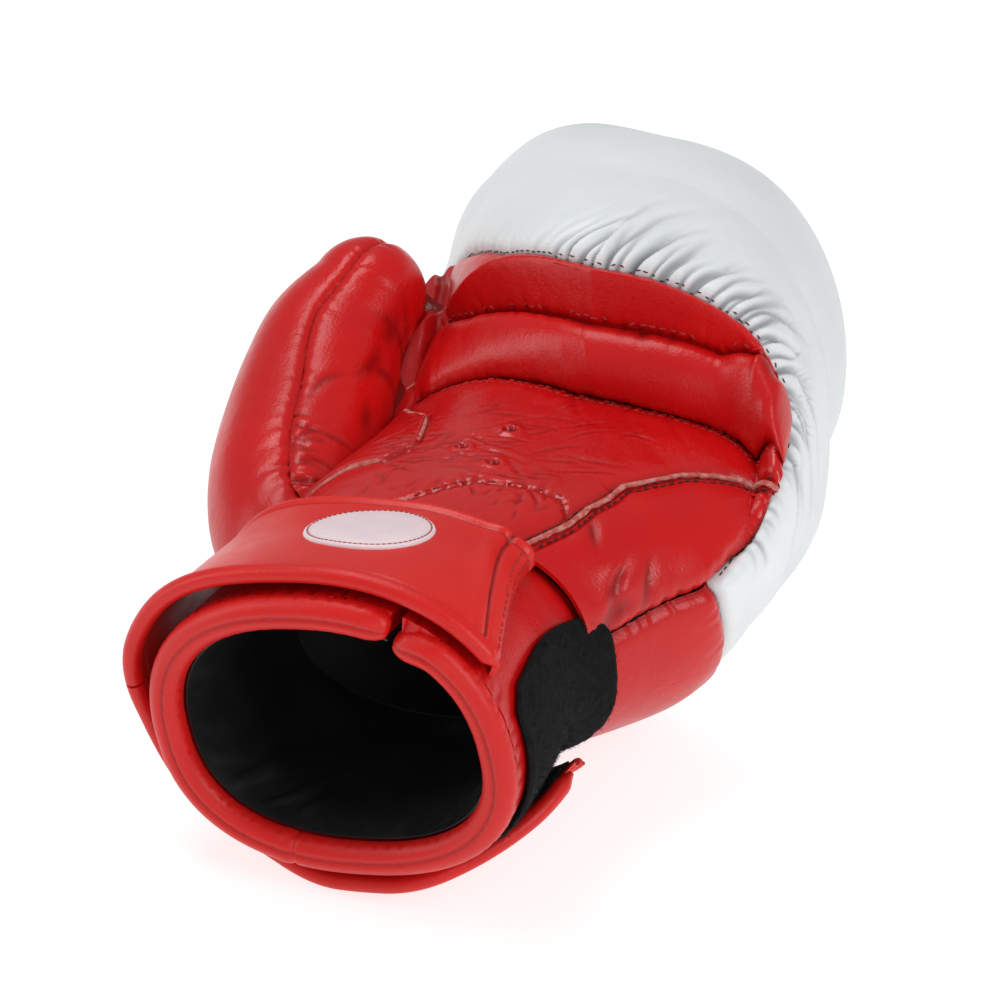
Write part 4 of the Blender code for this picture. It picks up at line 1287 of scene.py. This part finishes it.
angle, where = grid_of(SLIT + 1.8, SLIT + 358.2, 5.0, 63.0, 380, 62)
depth = 0.3 - 0.25 * cloud(form(angle, where), 20.0, 31) + 1.4 * ramp(where, 59.0, 63.0)
points, _ = sheet_at(angle, where, depth)
rim_line = resampled(sheet_at(np.linspace(SLIT, SLIT + 360, 300), np.full(300, 7.0), np.zeros(300))[0], 1.0)
along, away = beside(points, rim_line)
pull, fold = gathers(along, away, (0, 330), 6.0, (3, 8), (0.15, 0.5), (0.7, 1.2), 33)
points = points + outward_of(points, (0, 30, 50)) * pull[..., None]
points[..., 2] = np.maximum(points[..., 2], 0.3)
cuff = lay_grid("cuff_leather_cover", points, outside=not faces_out(points, (0, 30, 50)))
keep_fold_shade(cuff, fold.ravel())
thicken(cuff, CUFF_WALL)
finish(cuff, RED_LEATHER, "mitt", ("cuff_leather", "cuff_foam"))

angle, where = grid_of(SLIT + 1.8, SLIT + 358.2, 6.6, 72.0, 360, 80)
base, outward = sheet_at(angle, where, np.full(angle.shape, LINING_DEPTH))
rim = sheet_at(np.linspace(SLIT, SLIT + 360, 300), np.full(300, 4.0), np.full(300, LINING_DEPTH))[0]
rim_line = resampled(rim, 1.0)
along, away = beside(base, rim_line)
puckers, fold = gathers(along, away, (0, 280), 9.0, (14, 40), (0.8, 2.4), (1.6, 3.0), 36, 0.35)
fine, fine_fold = gathers(along, away, (0, 280), 4.6, (5, 13), (0.15, 0.45), (0.9, 1.5), 37, 0.2)
depth_change = np.maximum(-(puckers + fine) + 0.5 * cloud(base, 14.0, 38), -0.6)
depth_change = depth_change * ramp(where, 7.0, 16.0)
points = base - outward * depth_change[..., None]
lining = lay_grid("cuff_lining_cloth", points, outside=faces_out(points, (0, 30, 50)))
keep_fold_shade(lining, np.maximum(fold, fine_fold).ravel() * 0.5)
thicken(lining, -0.5)
finish(lining, LINING, "mitt", ("cuff_lining",))


def flat_size(points):
    """The width and length of a laid sheet, and its area, all in metres."""
    rows = np.linalg.norm(np.diff(points, axis=0), axis=-1).sum(axis=0)
    columns = np.linalg.norm(np.diff(points, axis=1), axis=-1).sum(axis=1)
    first = points[1:, :-1] - points[:-1, :-1]
    second = points[:-1, 1:] - points[:-1, :-1]
    area = np.linalg.norm(np.cross(first, second), axis=-1).sum()
    return float(columns.max()) * MM, float(rows.max()) * MM, float(area) * MM * MM


width, length, area = flat_size(points)
print("cuff lining", round(width, 4), "x", round(length, 4), "area", round(area, 5))

angle, where = grid_of(0.0, 360.0, 64.0, POCKET_TIP, 150, 110)
points = pocket(angle, where)
points[-1] = points[-2].mean(axis=0)
wave = 0.5 * cloud(points, 16.0, 39)
points[:-1] += outward_of(points[:-1], (10, 130, 50)) * (wave - 0.8)[:-1, :, None]
points[:, -1] = points[:, 0]
pocket_cloth = lay_grid("hand_lining_cloth", points, wrap=True, outside=not faces_out(points, (10, 130, 50)))
thicken(pocket_cloth, 0.6)
finish(pocket_cloth, LINING, "mitt", ("hand_lining",))
width, length, area = flat_size(points)
print("hand lining", round(width, 4), "x", round(length, 4), "area", round(area, 5))


# %% The rolled binding on the rim
def sweep(name, path, outward, profile, material, body, nodes, taper=None, fold=None):
    """A profile of (across, outward) points carried along a path, with closed ends."""
    tangent = np.gradient(path, axis=0)
    tangent /= np.linalg.norm(tangent, axis=1, keepdims=True)
    side = np.cross(tangent, outward)
    side /= np.linalg.norm(side, axis=1, keepdims=True)
    out = np.cross(side, tangent)
    size = np.ones(len(path)) if taper is None else taper
    rings = []
    for across, up in profile:
        sideways = side * (np.asarray(across) * size)[:, None]
        rings.append(path + sideways + out * (np.asarray(up) * size)[:, None])
    grid = np.stack(rings + rings[:1])
    grid[:, 0] = grid[:-1, 0].mean(axis=0)
    grid[:, -1] = grid[:-1, -1].mean(axis=0)
    piece = lay_grid(name, grid, outside=False)
    shade = np.zeros(grid.shape[:2]) if fold is None else fold
    keep_fold_shade(piece, shade.ravel())
    bpy.ops.object.mode_set(mode="EDIT")
    bpy.ops.mesh.select_all(action="SELECT")
    bpy.ops.mesh.remove_doubles(threshold=0.00001)
    bpy.ops.mesh.normals_make_consistent(inside=False)
    bpy.ops.object.mode_set(mode="OBJECT")
    return finish(piece, material, body, nodes)


def rounded_ends(count, length, reach, least=0.3):
    at = np.linspace(0.0, length, count)
    near = np.minimum(at, length - at)
    return least + (1.0 - least) * np.sqrt(np.clip(1.0 - (1.0 - np.minimum(near / reach, 1.0)) ** 2, 0, 1))


angles = np.linspace(SLIT + 1.0, SLIT + 359.0, 700)
tucked = ramp(angles, SLIT + 340.0, SLIT + 358.0)
path, outward = sheet_at(angles, 4.2 + 2.2 * tucked, 4.9 + 3.4 * tucked)
length = arc(path)
turns = np.linspace(0.0, 2.0 * math.pi, 56, endpoint=False)
taper = rounded_ends(700, length[-1], 7.0)
random = np.random.default_rng(41)
pulls = np.zeros(700)
for place in np.arange(3.0, length[-1] - 3.0, 4.3):
    here = place + random.uniform(-0.8, 0.8)
    pulls += random.uniform(0.2, 0.75) * np.exp(-(((length - here) / random.uniform(0.5, 0.9)) ** 2))
profile = []
shade = []
for turn in turns:
    across = math.cos(turn)
    up = math.sin(turn)
    groove = math.exp(-(((turn - math.pi * 1.0 - 0.12) / 0.16) ** 2))
    inner = math.exp(-(((turn - math.pi * 1.46) / 0.30) ** 2))
    outer = math.exp(-(((turn - math.pi * 0.52) / 0.30) ** 2))
    size = 1.0 - 0.16 * groove - 0.08 * pulls * (inner + outer + 0.7 * groove)
    profile.append((across * 4.1 * size, up * 4.6 * size))
    shade.append(np.clip(0.55 * groove + 0.3 * pulls * (inner + outer), 0, 1) * np.ones(700))
shade = np.stack(shade + shade[:1])
joint = 1.0 + 0.06 * np.exp(-(((length - length[-1] * 0.52) / 2.0) ** 2)) - 0.10 * np.exp(
    -(((length - length[-1] * 0.52 - 3.0) / 0.7) ** 2)
)
sweep(
    "cuff_rim_binding", path, outward, profile, RED_BINDING, "mitt", ("cuff_binding",),
    taper * joint, shade,
)
print("binding", round(float(length[-1])), "mm long")

# %% The loop patch
PATCH_LOW = ((-74, 13), (-62, 10.2), (8, 10.2), (14, 16), (18, 40))
PATCH_HIGH = ((-74, 68), (-45, 73), (-25, 71.5), (-9, 70), (8, 69), (14, 67), (18, 60))
low_patch = by(PATCH_LOW)
high_patch = by(PATCH_HIGH)
angle, where = settled(
    (110, 190),
    lambda where: np.full(where.shape, -74.0),
    lambda where: np.full(where.shape, 17.5),
    lambda angle: low_patch(angle),
    lambda angle: high_patch(angle),
)
base = form(angle, where)
fuzz = 0.16 * cloud(base, 1.1, 51) + 0.12 * cloud(base, 2.3, 52) + 0.2 * cloud(base, 9.0, 53)
rows, columns = base.shape[:2]
row_gap = np.minimum(np.arange(rows), np.arange(rows)[::-1])[:, None] * np.ones((1, columns))
column_gap = np.minimum(np.arange(columns), np.arange(columns)[::-1])[None, :] * np.ones((rows, 1))
edge_gap = np.minimum(row_gap * 0.6, column_gap * 0.7)
points, outward = sheet_at(angle, where, -(1.9 + fuzz - 0.9 * np.exp(-edge_gap / 0.6)))
points[..., 2] = np.maximum(points[..., 2], 0.2)
patch = lay_grid("loop_patch_pile", points, outside=not faces_out(points, (0, 40, 50)))
thicken(patch, 1.2)
finish(patch, PILE, "mitt", ("loop_patch",))


def make_lint(name, points, outward, count, seed):
    """Short bent threads that stand out of a pile: thin ribbons of four faces each."""
    random = np.random.default_rng(seed)
    rows, columns = points.shape[:2]
    verts = []
    faces = []
    for _ in range(count):
        i = random.integers(1, rows - 1)
        j = random.integers(1, columns - 1)
        spot = points[i, j] + random.uniform(-0.3, 0.3, 3)
        lie = np.cross(outward[i, j], random.normal(size=3))
        lie /= np.linalg.norm(lie)
        side = np.cross(lie, outward[i, j])
        long = random.uniform(0.5, 1.6)
        tall = random.uniform(0.15, 0.7)
        start = len(verts)
        for part in (0.0, 0.35, 0.7, 1.0):
            rise = math.sin(math.pi * min(part * 1.1, 1.0))
            middle = spot + lie * long * part + outward[i, j] * tall * rise
            verts.append((middle - side * 0.045 + SHIFT) * MM)
            verts.append((middle + side * 0.045 + SHIFT) * MM)
        faces.extend([(start + k, start + k + 1, start + k + 3, start + k + 2) for k in (0, 2, 4)])
    mesh = bpy.data.meshes.new(name)
    mesh.from_pydata([vert.tolist() for vert in verts], [], faces)
    piece = bpy.data.objects.new(name, mesh)
    bpy.context.scene.collection.objects.link(piece)
    finish(piece, PILE, "mitt", ())


make_lint("loop_patch_lint", points, outward, 5000, 55)

# %% [markdown]
# ## The strap
# The strap is one band of leather with a thin welt on its far edge and a rolled binding on its
# near edge. It is made in three lengths that meet where the band stays flat, and each length
# lies over one hinge of the frame.

# %% The strap's shape
STRAP_NEAR = 9.4
STRAP_FAR = 61.2
STRAP_OUTER = 5.2
STRAP_HINGES = (128.0, 205.0, 268.0)
STRAP_TIP = 322.0
STRAP_CUTS = (26.0, 166.0, 236.0, STRAP_TIP)


def strap_lift(angle):
    snug = 1.3 * ramp(angle, 168.0, 196.0) * (1.0 - ramp(angle, 236.0, 262.0))
    bow = -snug + 2.6 * ramp(angle, 92.0, 135.0) * (1.0 - ramp(angle, 150.0, 200.0))
    return bow + 3.4 * ramp(angle, 288.0, STRAP_TIP)


def strap_near(angle):
    past = np.clip((angle - 272.0) / (STRAP_TIP - 272.0), 0.0, 1.0)
    back = 4.5 * ramp(angle, 150.0, 185.0) * (1.0 - ramp(angle, 232.0, 262.0))
    return STRAP_NEAR + back + 44.0 * past**1.9


def strap_sheet(angle, where, outward):
    points, direction = sheet_at(angle, where, -(np.asarray(outward) + strap_lift(angle)))
    points[..., 2] = np.maximum(points[..., 2], 0.3)
    return points, direction


def hinge_points(angle, half):
    """Points before and after a hinge, along the strap."""
    ends = []
    for shift in (-half, half):
        spot, _ = strap_sheet(np.array([angle + shift]), np.array([35.0]), np.array([4.5]))
        ends.append(tuple(((spot[0] + SHIFT) * MM).tolist()))
    return ends


def join_strap(piece, number):
    start, end = hinge_points(STRAP_HINGES[number], 7.0)
    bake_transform(piece)


def strap_start(where):
    """The strap's sewn end, which slants across the cuff."""
    return 22.0 + (where - 9.0) * 0.42


strap_nodes = (
    ("strap_palm", "strap_palm_binding"),
    ("strap_side", "strap_side_binding"),
    ("strap_back", "strap_tip", "strap_back_binding", "strap_tip_binding"),
)
strap_hooks = ((), (), ("strap_back_hook", "strap_tip_hook"))
strap_names = ("strap_over_palm", "strap_round_side", "strap_free_end")

# %% The three lengths of the strap
for number in range(3):
    first = STRAP_CUTS[number]
    last = STRAP_CUTS[number + 1]
    columns = int((last - first) * 1.5)
    rows = 80
    part = np.linspace(0.0, 1.0, columns)[None, :] * np.ones((rows, 1))
    rise = np.linspace(0.0, 1.0, rows)[:, None] * np.ones((1, columns))
    angle = first + part * (last - first)
    where = strap_near(angle) + rise * (STRAP_FAR - strap_near(angle))
    if number == 0:
        angle = strap_start(where) + part * (last - strap_start(where))
    base = form(angle, where)
    height = STRAP_OUTER + 0.22 * cloud(base, 24.0, 61) + 0.10 * cloud(base, 9.0, 62)
    from_far = STRAP_FAR - where
    height = height + 0.75 * np.exp(-(((from_far - 1.4) / 1.3) ** 2))
    height = height - 0.7 * np.exp(-(((from_far - 3.7) / 0.55) ** 2))
    # Painted shade in the groove beside the welt.
    fold = 0.8 * np.exp(-(((from_far - 3.7) / 0.5) ** 2))
    from_near = where - strap_near(angle)
    height = height - 0.5 * np.exp(-(((from_near - 1.0) / 1.0) ** 2))
    if number == 0:
        from_end = (angle - strap_start(where)) * 0.86
        height -= 4.6 * np.exp(-((np.maximum(from_end, 0.0) / 2.2) ** 1.5))
        height -= 1.1 * np.exp(-(((from_end - 9.6) / 0.8) ** 2))
        # Painted shade in the groove across the sewn end.
        fold = np.maximum(fold, 0.9 * np.exp(-(((from_end - 9.6) / 0.6) ** 2)))
        slack = ramp(from_end, 10.0, 26.0)
        height += 1.0 * (1.0 - slack) * np.exp(-(((from_end - 13.0) / 3.0) ** 2))
    points, outward = strap_sheet(angle, where, height)
    name = strap_names[number]
    piece = lay_grid(name, points, outside=not faces_out(points, (0, 35, 50)))
    keep_fold_shade(piece, fold.ravel())
    thicken(piece, 1.5)
    finish(piece, STRAP_LEATHER, None, strap_nodes[number])
    join_strap(piece, number)
    if number == 0:
        end_line = resampled(points[:, 0], 1.0)
        along, away = beside(points, end_line)
        for offset in (3.4, 6.0):
            sew(points, outward, along, away, offset, 2.8, (2, 56), "red", (1.1, 0.42))

# %% The strap's rolled edge
for number in range(3):
    first = STRAP_CUTS[number] + (0.0 if number else -1.0)
    last = STRAP_CUTS[number + 1]
    count = int((last - first) * 2.2)
    angles = np.linspace(first, last, count)
    slope = np.gradient(strap_near(angles), angles) / (52.0 * math.pi / 180.0)
    edge = strap_near(angles) - 2.9 * np.sqrt(1.0 + slope**2)
    path, outward = strap_sheet(angles, edge, np.full(count, STRAP_OUTER - 0.3))
    length = arc(path)
    random = np.random.default_rng(65 + number)
    pulls = np.zeros(count)
    for place in np.arange(2.0, length[-1] - 2.0, 3.4):
        pulls += random.uniform(0.3, 1.0) * np.exp(-(((length - place) / 0.8) ** 2))
    profile = []
    shade = []
    for turn in np.linspace(0.0, 2.0 * math.pi, 40, endpoint=False):
        groove = math.exp(-(((turn - math.pi * 0.30) / 0.22) ** 2))
        size = 1.0 - 0.17 * groove - 0.09 * pulls * groove
        profile.append((math.cos(turn) * 3.0 * size, math.sin(turn) * 2.5 * size))
        shade.append(np.clip(groove * (0.55 + 0.4 * pulls), 0, 1))
    shade = np.stack(shade + shade[:1])
    ends = np.ones(count)
    if number == 0:
        ends = 0.25 + 0.75 * ramp(length, 0.0, 5.0)
    if number == 2:
        ends = 0.35 + 0.65 * ramp(length[-1] - length, 0.0, 6.0)
    name = strap_names[number] + "_edge"
    piece = sweep(name, path, outward, profile, RED_BINDING, None, (), ends, shade)
    join_strap(piece, number)

# %% The hook cloth inside the strap
angle, where = grid_of(207.0, 318.0, 0.0, 1.0, 150, 40)
low = np.minimum(strap_near(angle) + 2.4, STRAP_FAR - 6.0)
where = low + where * (STRAP_FAR - 2.5 - low)
base = form(angle, where)
points, outward = strap_sheet(angle, where, 3.5 + 0.1 * cloud(base, 1.2, 71))
hooks = lay_grid("strap_hook_cloth", points, outside=faces_out(points, (0, 35, 50)))
thicken(hooks, -0.9)
finish(hooks, HOOKS, None, strap_hooks[2])
join_strap(hooks, 2)

# %% The blank oval badge
BADGE_ANGLE = 83.0
BADGE_WHERE = 37.0
BADGE_HALF_ANGLE = 16.0
BADGE_HALF_WIDTH = 14.5
STITCH_HALF_ANGLE = 14.8
STITCH_HALF_WIDTH = 13.4
turns = np.linspace(0.0, 2.0 * math.pi, 97)
rings = np.array([0.0, 0.3, 0.6, 0.78, 0.84, 0.88, 0.92, 0.96, 0.985, 1.0, 1.0])
lifts = np.array([1.5, 1.5, 1.45, 1.35, 1.2, 0.85, 1.15, 1.1, 0.8, 0.3, -0.4])
angle = BADGE_ANGLE + BADGE_HALF_ANGLE * rings[:, None] * np.cos(turns)[None, :]
where = BADGE_WHERE + BADGE_HALF_WIDTH * rings[:, None] * np.sin(turns)[None, :]
points, outward = strap_sheet(angle, where, STRAP_OUTER + lifts[:, None] * 0.8 * np.ones((1, 97)))
points[:, -1] = points[:, 0]
badge = lay_grid("badge_patch", points, wrap=True, outside=not faces_out(points, (0, 35, 50)))
thicken(badge, 0.5)
finish(badge, BADGE_PALE, "mitt", ("badge",))
border_angle = BADGE_ANGLE + STITCH_HALF_ANGLE * np.cos(turns)
border_where = BADGE_WHERE + STITCH_HALF_WIDTH * np.sin(turns)
border = strap_sheet(border_angle, border_where, np.full(97, STRAP_OUTER + 0.85))
border_path = resampled(border[0], 0.5)
for i in range(1, len(border_path) - 1, 3):
    spot = border_path[i]
    run = border_path[i + 1] - border_path[i - 1]
    THREAD_PLACES["red"].append((spot, run, np.array([-0.1, 0.0, 1.0]), (0.75, 0.3)))

# %% All the thread
make_thread("seam_thread", THREAD_PLACES["red"], RED_THREAD)
make_thread("gather_thread", THREAD_PLACES["dark"], DARK_THREAD)

# %% [markdown]
# ## Floor, light and camera
# A pale floor that glows a little, a white world and four soft lights. The camera stands in front
# of the cuff and looks down at the palm.

# %% Floor, lights and world
bpy.ops.object.select_all(action="DESELECT")
bpy.ops.mesh.primitive_plane_add(size=12.0, location=(0, 0, -0.0005))
floor = bpy.context.object
floor.name = "floor"
floor_look = bpy.data.materials.new("floor")
floor_look.use_nodes = True
floor_inputs = floor_look.node_tree.nodes["Principled BSDF"].inputs
floor_inputs["Base Color"].default_value = (0.4, 0.4, 0.4, 1)
floor_inputs["Roughness"].default_value = 0.9
floor_inputs["Emission Color"].default_value = (1, 1, 1, 1)
floor_inputs["Emission Strength"].default_value = 0.74
floor.data.materials.append(floor_look)

scene = bpy.context.scene
scene.view_settings.view_transform = "Standard"
world = bpy.data.worlds.new("studio")
scene.world = world
world.use_nodes = True
world.node_tree.nodes["Background"].inputs["Color"].default_value = (1.0, 1.0, 1.0, 1.0)
world.node_tree.nodes["Background"].inputs["Strength"].default_value = 0.36


def area_light(name, place, target, size, power):
    bpy.ops.object.light_add(type="AREA", location=place)
    lamp = bpy.context.object
    lamp.name = name
    lamp.data.shape = "RECTANGLE"
    lamp.data.size = size[0]
    lamp.data.size_y = size[1]
    lamp.data.energy = power
    lamp.rotation_euler = (Vector(target) - Vector(place)).to_track_quat("-Z", "Y").to_euler()
    return lamp


area_light("key", (-0.35, 0.15, 1.15), (0, 0, 0.05), (0.7, 0.5), 5.6)
area_light("left", (-1.0, -0.5, 0.55), (0, 0, 0.05), (0.35, 0.9), 3.4)
area_light("right", (0.95, -0.35, 0.7), (0, 0, 0.05), (0.35, 0.8), 5.4)
area_light("front", (0.45, -1.2, 0.5), (0, 0, 0.05), (0.9, 0.3), 1.8)

# %% Camera
TARGET = Vector(((0 + SHIFT[0]) * MM, (114 + SHIFT[1]) * MM, (60 + SHIFT[2]) * MM))
TOWARD = Vector((0.331, -0.781, 0.530)).normalized()
bpy.ops.object.camera_add(location=TARGET + TOWARD * 1.0)
camera = bpy.context.object
camera.name = "camera"
camera.rotation_euler = (-TOWARD).to_track_quat("-Z", "Y").to_euler()
camera.data.sensor_width = 36.0
camera.data.lens = 127.8
camera.data.shift_x = 0.013
camera.data.clip_start = 0.05
scene.camera = camera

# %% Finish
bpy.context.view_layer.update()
